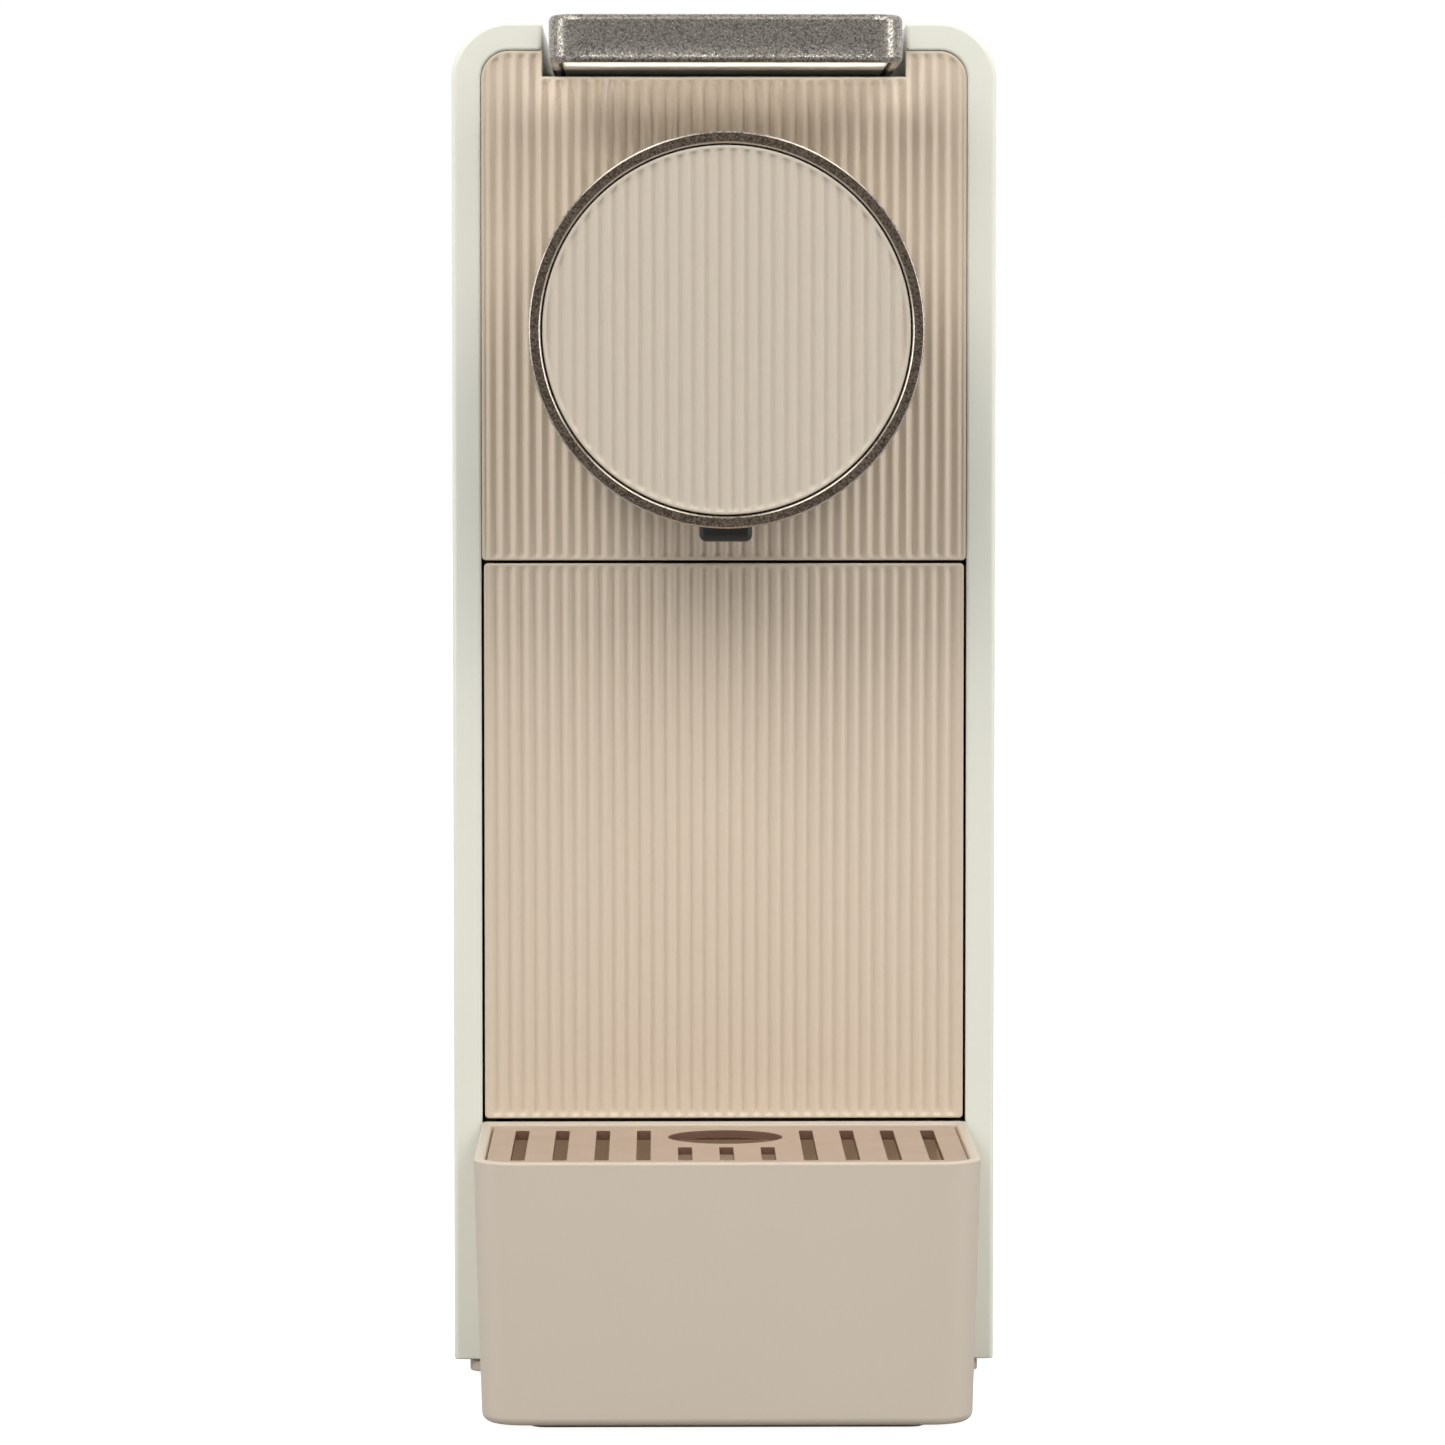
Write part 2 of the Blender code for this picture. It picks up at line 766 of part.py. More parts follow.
# ------------------------------------------------------------------ lever
def lever(rides_on):
    skin_wall, corner = 0.002, 0.006
    skin = plate(
        "lever_skin",
        "XY",
        LEVER_BOTTOM,
        LEVER_TOP,
        fillet(
            [
                (-LEVER_HALF, LEVER_FRONT, corner),
                (LEVER_HALF, LEVER_FRONT, corner),
                (LEVER_HALF, PIVOT.y, 0),
                (-LEVER_HALF, PIVOT.y, 0),
            ]
        ),
    )
    inside = LEVER_HALF - skin_wall
    hollow = plate(
        "lever_hollow",
        "XY",
        LEVER_BOTTOM - 0.001,
        LEVER_TOP - skin_wall,
        fillet(
            [
                (-inside, LEVER_FRONT + skin_wall, corner - skin_wall),
                (inside, LEVER_FRONT + skin_wall, corner - skin_wall),
                (inside, PIVOT.y + 0.001, 0),
                (-inside, PIVOT.y + 0.001, 0),
            ]
        ),
    )
    centre = (PIVOT.y, PIVOT.z)
    hub_radius = LEVER_TOP - PIVOT.z
    hub_start, hub_end, ear_radius = 90, 20, 0.008
    inset = 0.0001  # keeps the side faces of joined shapes out of one plane
    hub = plate(
        "lever_hub",
        "YZ",
        -LEVER_HALF + inset,
        LEVER_HALF - inset,
        arc(centre, hub_radius, hub_start + 3, hub_end, 12)
        + arc(centre, hub_radius - skin_wall, hub_end, hub_start + 3, 12),
    )
    cut(skin, hollow)
    join(skin, hub)
    ear_outline = (
        arc(centre, hub_radius - skin_wall / 2, hub_start, hub_end, 10)
        + arc(centre, ear_radius, -20, -160, 8)
        + [Vector((PIVOT.y - 0.0085, z)) for z in (LEVER_BOTTOM + 0.001, LEVER_TOP - 0.001)]
    )
    bore = rod("lever_bore", (-0.05, PIVOT.y, PIVOT.z), (0.05, PIVOT.y, PIVOT.z), PIVOT_RADIUS + GAP)
    for word, side in SIDES.items():
        x = sides(inside + inset, LEVER_HALF - 2 * inset, side)
        join(skin, plate(f"lever_ear_{word}", "YZ", *x, ear_outline))
    cut(skin, bore)
    keep(skin, "champagne", rides_on)

    core_half, core_rear = inside - GAP, -0.002
    core = plate(
        "lever_insert",
        "XY",
        LEVER_BOTTOM + 0.0004,
        LEVER_TOP - skin_wall - GAP,
        fillet(
            [
                (-core_half, LEVER_FRONT + skin_wall + GAP, corner - skin_wall - GAP),
                (core_half, LEVER_FRONT + skin_wall + GAP, corner - skin_wall - GAP),
                (core_half, core_rear, 0),
                (-core_half, core_rear, 0),
            ]
        ),
    )
    keep(core, "cream", rides_on)


def cam_point(opening):
    """Where the guide pin lies in the cam plate, about the pivot, for an opening from 0 to 1."""
    angle = LEVER_OPEN * opening
    y = PIN_Y + CARRIAGE_STROKE * opening - PIVOT.y
    z = PIN_Z - PIVOT.z
    return Vector(
        (
            PIVOT.y + y * math.cos(angle) - z * math.sin(angle),
            PIVOT.z + y * math.sin(angle) + z * math.cos(angle),
        )
    )


def cam_plates(rides_on):
    steps, margin = 12, 0.007
    path = [cam_point(k / steps) for k in range(steps + 1)]
    top = LEVER_BOTTOM + 0.0001
    web = fillet(
        [
            (PIVOT.y - 0.044, top, 0),
            (PIVOT.y - 0.054, PIVOT.z - 0.026, 0.002),
            (PIVOT.y - 0.010, PIVOT.z - 0.045, 0.010),
            (PIVOT.y + 0.026, PIVOT.z - 0.024, 0.004),
            (PIVOT.y + 0.010, PIVOT.z, 0.006),
            (PIVOT.y + 0.007, top, 0),
        ]
    )
    for word, side in SIDES.items():
        x = sides(CAM_IN, CAM_OUT, side)
        wide = sides(CAM_IN - 0.001, CAM_OUT + 0.001, side)
        cam = plate(f"lever_cam_{word}", "YZ", *x, web)
        join(cam, plate(f"cam_edge_{word}", "YZ", *x, ribbon(path, margin)))
        cut(
            cam,
            plate(f"cam_slot_{word}", "YZ", *wide, ribbon(path, PIN_RADIUS + GAP)),
            rod(
                f"cam_bore_{word}",
                (wide[0], PIVOT.y, PIVOT.z),
                (wide[1], PIVOT.y, PIVOT.z),
                PIVOT_RADIUS + GAP,
            ),
        )
        keep(cam, "steel", rides_on)


def lever_pivot():
    end = CHASSIS_OUT - GAP
    pin = rod("lever_pivot_pin", (-end, PIVOT.y, PIVOT.z), (end, PIVOT.y, PIVOT.z), PIVOT_RADIUS)
    keep(pin, "steel")
    bush_in, bush_out = LEVER_HALF + 0.0006, CHASSIS_IN - GAP
    for word, side in SIDES.items():
        bush = ring(
            f"pivot_bush_{word}",
            (side * bush_in, PIVOT.y, PIVOT.z),
            (side, 0, 0),
            PIVOT_RADIUS + GAP,
            0.0055,
            bush_out - bush_in,
        )
        keep(bush, "black")


# ------------------------------------------------------------------ drawer
def tapered_tub(name, half, half_low, front, rear, corner, low, high):
    """A straight-sided block with round front corners, narrower at the bottom."""
    tub = plate(
        name,
        "XY",
        low,
        high,
        fillet([(-half, front, corner), (half, front, corner), (half, rear, 0), (-half, rear, 0)]),
    )
    for vertex in tub.data.vertices:
        if vertex.co.z < 0:
            vertex.co.x *= half_low / half
    return tub


def drip_tray(rides_on):
    rear = SHELL_FRONT - GAP
    strip = 0.005
    tray = tapered_tub(
        "drip_tray", TRAY_HALF, TRAY_HALF_LOW, TRAY_FRONT, rear, TRAY_CORNER, TRAY_BOTTOM, TRAY_TOP
    )
    hollow = tapered_tub(
        "tray_hollow",
        TRAY_HALF - THIN,
        TRAY_HALF_LOW - THIN,
        TRAY_FRONT + THIN,
        SHELL_FRONT - strip,
        TRAY_CORNER - THIN,
        TRAY_BOTTOM + THIN,
        TRAY_TOP + 0.001,
    )
    under_strip = block(
        "tray_under_strip",
        (-TRAY_HALF_LOW + THIN, TRAY_HALF_LOW - THIN),
        (SHELL_FRONT - strip - 0.001, rear - THIN),
        (TRAY_BOTTOM + THIN, GRILLE_TOP - 0.0028),
    )
    cut(tray, hollow, under_strip)
    pad = block("tray_pad", (-0.037, 0.037), (-0.160, -0.108), (0.0002, TRAY_BOTTOM + 0.001))
    carrier_half, carrier_rear, carrier_low = 0.0435, -0.012, BASE_TOP + GAP
    carrier = block(
        "bin_carrier",
        (-carrier_half, carrier_half),
        (rear - 0.0005, carrier_rear),
        (carrier_low, 0.018),
    )
    join(tray, pad, carrier)
    seat_front = SHELL_FRONT + WALL + GAP
    bin_seat = block(
        "bin_seat",
        (-carrier_half + THIN, carrier_half - THIN),
        (seat_front, carrier_rear - THIN),
        (carrier_low + THIN, 0.020),
    )
    cut(tray, bin_seat)
    ledge_low, ledge_high = 0.044, GRILLE_TOP - 0.0028
    for word, side in SIDES.items():
        ledge = block(
            f"grille_ledge_{word}",
            sides(0.0415, TRAY_HALF_LOW - 0.0008, side),
            (TRAY_FRONT + 0.010, SHELL_FRONT - 0.0025),
            (ledge_low, ledge_high),
        )
        join(tray, ledge)
    keep(tray, "beige", rides_on)

    half = SHELL_HALF - BAND - 0.0005
    front_panel = block(
        "container_panel",
        (-half, half),
        (SHELL_FRONT + GAP, SHELL_FRONT + WALL),
        (TRAY_TOP + 0.0004, SPLIT - GAP),
    )
    keep(front_panel, "beige", rides_on)

    bin_half, bin_wall = carrier_half - THIN - GAP, 0.0018
    bin_front, bin_rear = seat_front + GAP, carrier_rear - THIN - GAP
    bin_low, bin_top = carrier_low + THIN + GAP, 0.140
    container = block("capsule_bin", (-bin_half, bin_half), (bin_front, bin_rear), (bin_low, bin_top))
    cut(
        container,
        block(
            "bin_hollow",
            (-bin_half + bin_wall, bin_half - bin_wall),
            (bin_front + bin_wall, bin_rear - bin_wall),
            (bin_low + bin_wall, bin_top + 0.001),
        ),
    )
    keep(container, "black", rides_on)


def drip_grille(rides_on):
    half, corner = 0.045, TRAY_CORNER - THIN
    front, rear = TRAY_FRONT + THIN + GAP, SHELL_FRONT - 0.005 - GAP
    pitch, slot_half, reach = 0.00785, 0.0013, 5
    slot_front, long_rear, short_rear = -0.157, -0.111, -0.1366
    outline = fillet([(-half, front, corner), (half, front, corner), (half, rear, 0), (-half, rear, 0)])
    holes = [circle(0, -0.1213, 0.011)]
    for i in range(-reach, reach + 1):
        slot_rear = short_rear if abs(i) < 2 else long_rear
        x = i * pitch
        holes.append(
            rectangle((x - slot_half, x + slot_half), (slot_front, slot_rear), slot_half * 0.6, 2)
        )
    grille = plate("drip_grille", "XY", GRILLE_TOP - 0.0025, GRILLE_TOP, outline, *holes)
    keep(grille, "grille", rides_on)


# ------------------------------------------------------------------ water tank
def tank_outline(inset=0.0, front_corner=0.003):
    half, front, rear = BASE_HALF - inset, TANK_FRONT + inset, TANK_REAR - inset
    corner = TANK_CORNER - inset
    return fillet(
        [
            (-half, front, front_corner),
            (half, front, front_corner),
            (half, rear, corner),
            (-half, rear, corner),
        ],
        6,
    )


def water_tank(rides_on):
    tank = plate("water_tank", "XY", TANK_BOTTOM, TANK_TOP, tank_outline())
    hollow = plate(
        "tank_hollow", "XY", TANK_BOTTOM + THIN, TANK_TOP + 0.001, tank_outline(THIN, 0.001)
    )
    cut(
        tank,
        hollow,
        rod("valve_bore", (0, VALVE_Y, 0.02), (0, VALVE_Y, 0.03), 0.0063),
    )
    ear_in, ear_out, ear_front, ear_top = 0.030, 0.033, LID_PIVOT.y - 0.0023, LID_PIVOT.z + 0.002
    for word, side in SIDES.items():
        x, y, z = sides(ear_in, ear_out, side), (ear_front, TANK_REAR), (0.244, ear_top)
        join(tank, block(f"tank_ear_{word}", x, y, z))
    pin_radius = 0.0009
    cut(
        tank,
        rod("tank_pin_bore", (-0.036, *LID_PIVOT.yz), (0.036, *LID_PIVOT.yz), pin_radius + GAP, 16),
    )
    keep(tank, "smoke", rides_on)
    pin = rod("tank_lid_pin", (-ear_out, *LID_PIVOT.yz), (ear_out, *LID_PIVOT.yz), pin_radius, 16)
    keep(pin, "steel", rides_on)
    stem, flange = 0.006, 0.009
    valve = turned(
        "tank_valve",
        (0, VALVE_Y, 0.015),
        (0, 0, 1),
        [(0, 0.0133), (flange, 0.0133), (flange, 0.0113), (stem, 0.0113), (stem, 0), (0, 0)],
        steps=24,
    )
    keep(valve, "black", rides_on)


def tank_lid(rides_on):
    notch_in, notch_out, notch_front = 0.0296, 0.0334, LID_PIVOT.y - 0.0038
    lid = plate("tank_lid", "XY", LID_BOTTOM, LID_TOP, tank_outline())
    for word, side in SIDES.items():
        cut(
            lid,
            block(
                f"lid_notch_{word}",
                sides(notch_in, notch_out, side),
                (notch_front, TANK_REAR + 0.001),
                (LID_BOTTOM - 0.001, LID_TOP + 0.001),
            ),
        )
    cut(lid, rod("lid_bore", (-0.0332, *LID_PIVOT.yz), (0.0332, *LID_PIVOT.yz), 0.0012, 16))
    keep(lid, "black", rides_on)


def tank_connection():
    seal_in, seal_out, socket_out = 0.0063, 0.0083, 0.011
    low, high, floor = 0.008, PLATFORM_TOP - THIN - GAP, 0.002
    height = high - low
    socket = turned(
        "tank_socket",
        (0, VALVE_Y, low),
        (0, 0, 1),
        [
            (0, floor),
            (seal_out + GAP, floor),
            (seal_out + GAP, height),
            (socket_out, height),
            (socket_out, 0),
            (0, 0),
        ],
    )
    keep(socket, "black")
    seal = ring("tank_seal", (0, VALVE_Y, high - 0.0032), (0, 0, 1), seal_in, seal_out, 0.003)
    keep(seal, "silicone")


# ------------------------------------------------------------------ controls and hydraulics
def buttons(rides_on):
    top = SHELL_TOP - 0.0004
    cap_height, stem_radius, stem_low = 0.004, 0.0025, 0.2509
    for word, side in SIDES.items():
        button = turned(
            f"button_{word}",
            (side * BUTTON_X, BUTTON_Y, stem_low),
            (0, 0, 1),
            [
                (0, top - stem_low),
                (BUTTON_RADIUS - 0.0004, top - stem_low),
                (BUTTON_RADIUS, top - stem_low - 0.0004),
                (BUTTON_RADIUS, top - stem_low - cap_height),
                (stem_radius, top - stem_low - cap_height),
                (stem_radius, 0),
                (0, 0),
            ],
            steps=24,
        )
        keep(button, "champagne", rides_on[word])
    board_low, board_high, switch_top = 0.245, 0.2466, 0.2492
    board = block("button_board", (-0.025, 0.025), (0.060, 0.090), (board_low, board_high))
    for word, side in SIDES.items():
        x = side * BUTTON_X
        switch = block(
            f"switch_{word}",
            (x - 0.003, x + 0.003),
            (BUTTON_Y - 0.003, BUTTON_Y + 0.003),
            (board_high - 0.0005, switch_top),
        )
        join(board, switch)
    keep(board, "board")


def pump():
    x, z = -0.020, 0.027
    start, length = 0.008, 0.082
    nozzle, barrel, shoulder = 0.004, 0.011, 0.008
    body = turned(
        "pump_barrel",
        (x, start, z),
        (0, 1, 0),
        [
            (0, length),
            (nozzle, length),
            (nozzle, length - shoulder),
            (barrel, length - shoulder),
            (barrel, shoulder),
            (nozzle, shoulder),
            (nozzle, 0),
            (0, 0),
        ],
        steps=24,
    )
    keep(body, "black")
    half = 0.0195
    coil = block("pump_coil", (x - half, x + half), (0.028, 0.070), (z - half, z + half))
    cut(coil, rod("coil_bore", (x, 0.02, z), (x, 0.08, z), barrel + GAP))
    keep(coil, "black")
    for word, y in (("front", 0.0175), ("rear", 0.0755)):
        mount = ring(f"pump_mount_{word}", (x, y, z), (0, 1, 0), barrel + GAP, 0.018, 0.005)
        keep(mount, "rubber")


def heater_and_boards():
    shelf_top = 0.088
    low, high = shelf_top + GAP, 0.128
    block_y = (0.050, 0.104)
    heater = block("thermoblock", (-0.032, 0.032), block_y, (low, high))
    fin_width, fin_depth = 0.003, 0.004
    for i in range(-2, 3):
        x = i * 0.011
        cut(
            heater,
            block(
                f"heater_groove_{i + 2}",
                (x - fin_width / 2, x + fin_width / 2),
                (block_y[0] - 0.001, block_y[0] + fin_depth),
                (low + 0.004, high - 0.012 if i == -2 else high + 0.001),
            ),
        )
    keep(heater, "aluminium")
    thermostat = turned(
        "thermostat",
        (-0.012, 0.077, high + GAP),
        (0, 0, 1),
        [(0, 0.009), (0.005, 0.009), (0.005, 0.003), (0.0085, 0.003), (0.0085, 0), (0, 0)],
        steps=24,
    )
    keep(thermostat, "black")
    meter = turned(
        "flow_meter",
        (0.024, 0.086, BASE_TOP + GAP),
        (0, 0, 1),
        [(0, 0.022), (0.009, 0.022), (0.009, 0.016), (0.013, 0.016), (0.013, 0), (0, 0)],
        steps=24,
    )
    keep(meter, "cream")
    board_x = (0.0395, 0.0411)
    board = block("control_board", board_x, (0.000, 0.044), (0.070, 0.168))
    parts = {
        "relay": ((0.008, 0.024), (0.080, 0.100), 0.012),
        "transformer": ((0.006, 0.036), (0.110, 0.138), 0.016),
        "capacitor": ((0.026, 0.038), (0.084, 0.098), 0.014),
        "connector": ((0.010, 0.034), (0.150, 0.158), 0.008),
    }
    for word, (y, z, reach) in parts.items():
        join(board, block(f"board_{word}", (board_x[0] - reach, board_x[0] + 0.0005), y, z))
    keep(board, "board")


def hoses():
    """Each route starts and ends square to the fitting that it meets."""
    routes = {
        "inlet_hose": (
            0.003,
            [
                (0.0, 0.1285, 0.0135),
                (0.0, 0.1240, 0.0135),
                (0.012, 0.113, 0.0145),
                (0.024, 0.1035, 0.0155),
                (0.024, 0.0996, 0.0155),
            ],
        ),
        "pump_hose": (
            0.0025,
            [
                (0.0105, 0.086, 0.0130),
                (0.0065, 0.086, 0.0130),
                (-0.004, 0.095, 0.0180),
                (-0.018, 0.0985, 0.0260),
                (-0.020, 0.0945, 0.0270),
                (-0.020, 0.0904, 0.0270),
            ],
        ),
        "pressure_hose": (
            0.0025,
            [
                (-0.020, 0.0076, 0.0270),
                (-0.020, 0.0040, 0.0270),
                (-0.020, -0.0040, 0.0350),
                (-0.020, -0.0040, 0.0600),
                (-0.019, 0.008, 0.0940),
                (-0.0165, 0.030, 0.1080),
                (-0.0165, 0.046, 0.1080),
                (-0.0165, 0.0496, 0.1080),
            ],
        ),
        "brew_hose": (
            0.0025,
            [
                (0.010, 0.085, 0.1284),
                (0.010, 0.085, 0.1330),
                (0.009, 0.084, 0.1800),
                (0.004, 0.072, 0.2030),
                (0.0, 0.0550, BREW_Z),
                (0.0, 0.0504, BREW_Z),
            ],
        ),
    }
    for name, (radius, route) in routes.items():
        keep(hose(name, route, radius), "silicone")


def main():
    lever_joint = joint("lever_hinge", PIVOT)
    carriage_joint = joint("carriage_slide", (0, PIN_Y, BREW_Z))
    drawer_joint = joint("drawer_slide", (0, SHELL_FRONT, 0))
    grille_joint = joint("grille_lift", (0, -0.134, GRILLE_TOP), drawer_joint)
    tank_joint = joint("tank_lift", (0, VALVE_Y, TANK_BOTTOM))
    lid_joint = joint("tank_lid_hinge", LID_PIVOT, tank_joint)
    button_joints = {
        word: joint(f"button_{word}_press", (side * BUTTON_X, BUTTON_Y, SHELL_TOP))
        for word, side in SIDES.items()
    }
    side_covers()
    front_upper_panel()
    rear_cover()
    rear_top_cover()
    base()
    chassis()
    top_deck()
    brew_head()
    brew_frame()
    carriage(carriage_joint)
    lever(lever_joint)
    cam_plates(lever_joint)
    lever_pivot()
    drip_tray(drawer_joint)
    drip_grille(grille_joint)
    water_tank(tank_joint)
    tank_lid(lid_joint)
    tank_connection()
    buttons(button_joints)
    pump()
    heater_and_boards()
    hoses()


main()
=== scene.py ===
"""What the slim capsule coffee machine looks like, built round its CAD frame.

Metres, +Z up, and the front faces -Y. Each function makes one piece where its CAD node is, with
rounded edges, moulded ribs and a finish made of shader nodes. The last part is the studio.
"""

import json
import math

import bmesh
import bpy
from mathutils import Matrix, Vector


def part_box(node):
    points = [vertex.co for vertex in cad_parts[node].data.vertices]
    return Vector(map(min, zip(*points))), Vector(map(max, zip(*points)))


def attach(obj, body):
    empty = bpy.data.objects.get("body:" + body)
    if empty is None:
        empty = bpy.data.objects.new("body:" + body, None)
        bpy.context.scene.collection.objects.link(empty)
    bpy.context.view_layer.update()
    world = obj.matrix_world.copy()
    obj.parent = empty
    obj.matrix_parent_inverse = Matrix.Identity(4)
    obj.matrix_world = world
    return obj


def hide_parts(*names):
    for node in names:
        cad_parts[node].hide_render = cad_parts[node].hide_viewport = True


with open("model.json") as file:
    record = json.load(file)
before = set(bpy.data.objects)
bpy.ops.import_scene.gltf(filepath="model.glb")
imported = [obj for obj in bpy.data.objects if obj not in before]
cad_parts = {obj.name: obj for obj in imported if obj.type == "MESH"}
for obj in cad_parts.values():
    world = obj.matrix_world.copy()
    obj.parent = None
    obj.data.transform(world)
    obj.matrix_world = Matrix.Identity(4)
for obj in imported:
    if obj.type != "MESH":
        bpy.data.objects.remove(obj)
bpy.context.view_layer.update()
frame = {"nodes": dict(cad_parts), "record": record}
RECORD = frame["record"]
SLOT_OF = {part["node"]: part["material_slot"] for part in RECORD["subparts"]}
BODY_OF = {
    node: body for body, nodes in RECORD["behaviour"]["bodies"].items() for node in nodes
}
SIDES = {"left": -1, "right": 1}
SMOOTH_ANGLE = math.radians(38)
LEAST = 0.00002  # radius of a corner that is left sharp

# ------------------------------------------------------------------ driving dimensions
WALL = 0.0025  # moulded wall of the body
THIN = 0.002  # moulded wall of the tray, the lever and the tank
BAND = 0.0056  # front band of the side covers, which frames the panels
BAND_DEPTH = WALL + 0.0003  # from the band's front to its back
SHOULDER_RADIUS = 0.0112
RIB_PITCH, DISC_PITCH = 0.00254, 0.00249
RIB_DEPTH = 0.00070
CREST_SHARPNESS = 0.85  # below 1 the valleys are narrower than the crests
RIB_ROWS = 48  # faces up each rib
RIB_STEP = RIB_PITCH / 8  # widest face across the ribs
RIM = 0.00028  # rounded outer edge of the ribbed plates
BORDER_START, BORDER_END = 0.0005, 0.0011  # where the plain border turns into ribs
LIP_LOW = 0.2523  # lower edge of the covers' lips beside the lever
HEAD_Z = 0.2049
HEAD_OPENING = 0.028
TRAY_CORNER = 0.008
LEVER_CORNER = 0.006
LEVER_BOTTOM = 0.2556
LEVER_PIVOT = (0.020, 0.244)  # y and z of the lever's axis
EAR_INNER, EAR_OUTER = 0.030, 0.033  # x of the tank's ears, which hold the lid's pin


def spans(node):
    """The x, y and z extents of a CAD node."""
    return tuple(zip(*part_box(node)))


# ------------------------------------------------------------------ finishes
class Finish:
    """A material's node tree, with short ways to add to it. Patterns run in object coordinates."""

    def __init__(self, name, **constants):
        self.material = bpy.data.materials.new(name)
        self.material.use_nodes = True
        self.nodes = self.material.node_tree.nodes
        self.links = self.material.node_tree.links
        self.shader = self.nodes["Principled BSDF"]
        self.place = self.nodes.new("ShaderNodeTexCoord").outputs["Object"]
        self.normal = None
        for socket, value in constants.items():
            self.shader.inputs[socket.replace("_", " ")].default_value = value

    def stretched(self, stretch):
        """The object coordinates, scaled along each axis to draw a pattern out."""
        if stretch is None:
            return self.place
        mapping = self.nodes.new("ShaderNodeMapping")
        mapping.inputs["Scale"].default_value = stretch
        self.links.new(self.place, mapping.inputs["Vector"])
        return mapping.outputs["Vector"]

    def noise(self, size, detail=2.0, stretch=None):
        """Soft noise whose features are about this many metres wide."""
        node = self.nodes.new("ShaderNodeTexNoise")
        node.inputs["Scale"].default_value = 1 / size
        node.inputs["Detail"].default_value = detail
        self.links.new(self.stretched(stretch), node.inputs["Vector"])
        return node.outputs["Fac"]

    def flakes(self, size):
        """A random value for each flake of a metallic lacquer."""
        node = self.nodes.new("ShaderNodeTexVoronoi")
        node.inputs["Scale"].default_value = 1 / size
        self.links.new(self.place, node.inputs["Vector"])
        split = self.nodes.new("ShaderNodeSeparateColor")
        self.links.new(node.outputs["Color"], split.inputs["Color"])
        return split.outputs["Red"]

    def ranged(self, value, low, high, start=0.0, end=1.0):
        """A value that goes from low to high while the given one goes from start to end."""
        node = self.nodes.new("ShaderNodeMapRange")
        node.inputs["From Min"].default_value = start
        node.inputs["From Max"].default_value = end
        node.inputs["To Min"].default_value = low
        node.inputs["To Max"].default_value = high
        self.links.new(value, node.inputs["Value"])
        return node.outputs["Result"]

    def blend(self, value, dark, light):
        """A colour between two, by a value from 0 to 1."""
        node = self.nodes.new("ShaderNodeMix")
        node.data_type = "RGBA"
        node.inputs["A"].default_value = (*dark, 1.0)
        node.inputs["B"].default_value = (*light, 1.0)
        self.links.new(value, node.inputs["Factor"])
        return node.outputs["Result"]

    def drive(self, socket, output):
        """Links a value or a colour to a socket of the shader."""
        self.links.new(output, self.shader.inputs[socket])

    def bump(self, height, distance, strength=1.0):
        """Raises the surface by this many metres; several bumps add up."""
        node = self.nodes.new("ShaderNodeBump")
        node.inputs["Strength"].default_value = strength
        node.inputs["Distance"].default_value = distance
        self.links.new(height, node.inputs["Height"])
        if self.normal:
            self.links.new(self.normal, node.inputs["Normal"])
        self.normal = node.outputs["Normal"]
        self.drive("Normal", self.normal)


def scaled(colour, factor):
    """A colour that is darker or lighter by a factor."""
    return tuple(min(1.0, channel * factor) for channel in colour)


def moulded(name, colour, roughness, grain=0.00035, texture=0.000006, coat=0.0, specular=0.5):
    """Moulded plastic: a fine spark-eroded grain, faint flow marks and a little uneven gloss."""
    made = Finish(name, Specular_IOR_Level=specular, Coat_Weight=coat, Coat_Roughness=0.12)
    flow = made.noise(0.045, 3.0, (1.0, 1.0, 0.35))
    made.drive("Base Color", made.blend(flow, scaled(colour, 0.975), scaled(colour, 1.025)))
    gloss = made.noise(0.009, 2.0)
    made.drive("Roughness", made.ranged(gloss, roughness - 0.04, roughness + 0.04, 0.3, 0.7))
    made.bump(made.noise(grain, 1.0), texture)
    made.bump(made.noise(0.012, 1.0), 0.00001)
    return made.material


def painted_glow(name, colour, roughness, glow):
    """Thin moulded plastic with a faint even glow of its own colour, which is painted light, no lamp,
    and brightens the inside of the tray.
    """
    material = moulded(name, colour, roughness)
    shader = material.node_tree.nodes["Principled BSDF"]
    # the emission is painted light: the surface glows in its own colour
    shader.inputs["Emission Color"].default_value = (*colour, 1.0)
    shader.inputs["Emission Strength"].default_value = glow
    return material


def flaked(name, dark, light, roughness):
    """Metallic lacquer: small flakes, each with its own brightness and tilt, under clear lacquer."""
    flake = 0.00028
    made = Finish(
        name, Metallic=0.85, Coat_Weight=0.35, Coat_Roughness=0.12, Specular_IOR_Level=0.5
    )
    sparkle = made.flakes(flake)
    made.drive("Base Color", made.blend(made.ranged(sparkle, 0.0, 1.0, 0.1, 1.0), dark, light))
    made.drive("Roughness", made.ranged(sparkle, roughness + 0.08, roughness - 0.08))
    made.bump(sparkle, 0.00002, 0.6)
    made.bump(made.noise(0.010, 1.0), 0.00001)
    return made.material


def clear_smoke():
    """Clear grey plastic of the water tank, with the faint waves of a thin moulding."""
    made = Finish(
        "clear_smoke",
        Base_Color=(0.84, 0.86, 0.87, 1.0),
        Transmission_Weight=0.92,
        IOR=1.49,
        Specular_IOR_Level=0.5,
    )
    made.drive("Roughness", made.ranged(made.noise(0.02, 2.0), 0.03, 0.09))
    made.bump(made.noise(0.018, 1.0), 0.00003)
    return made.material


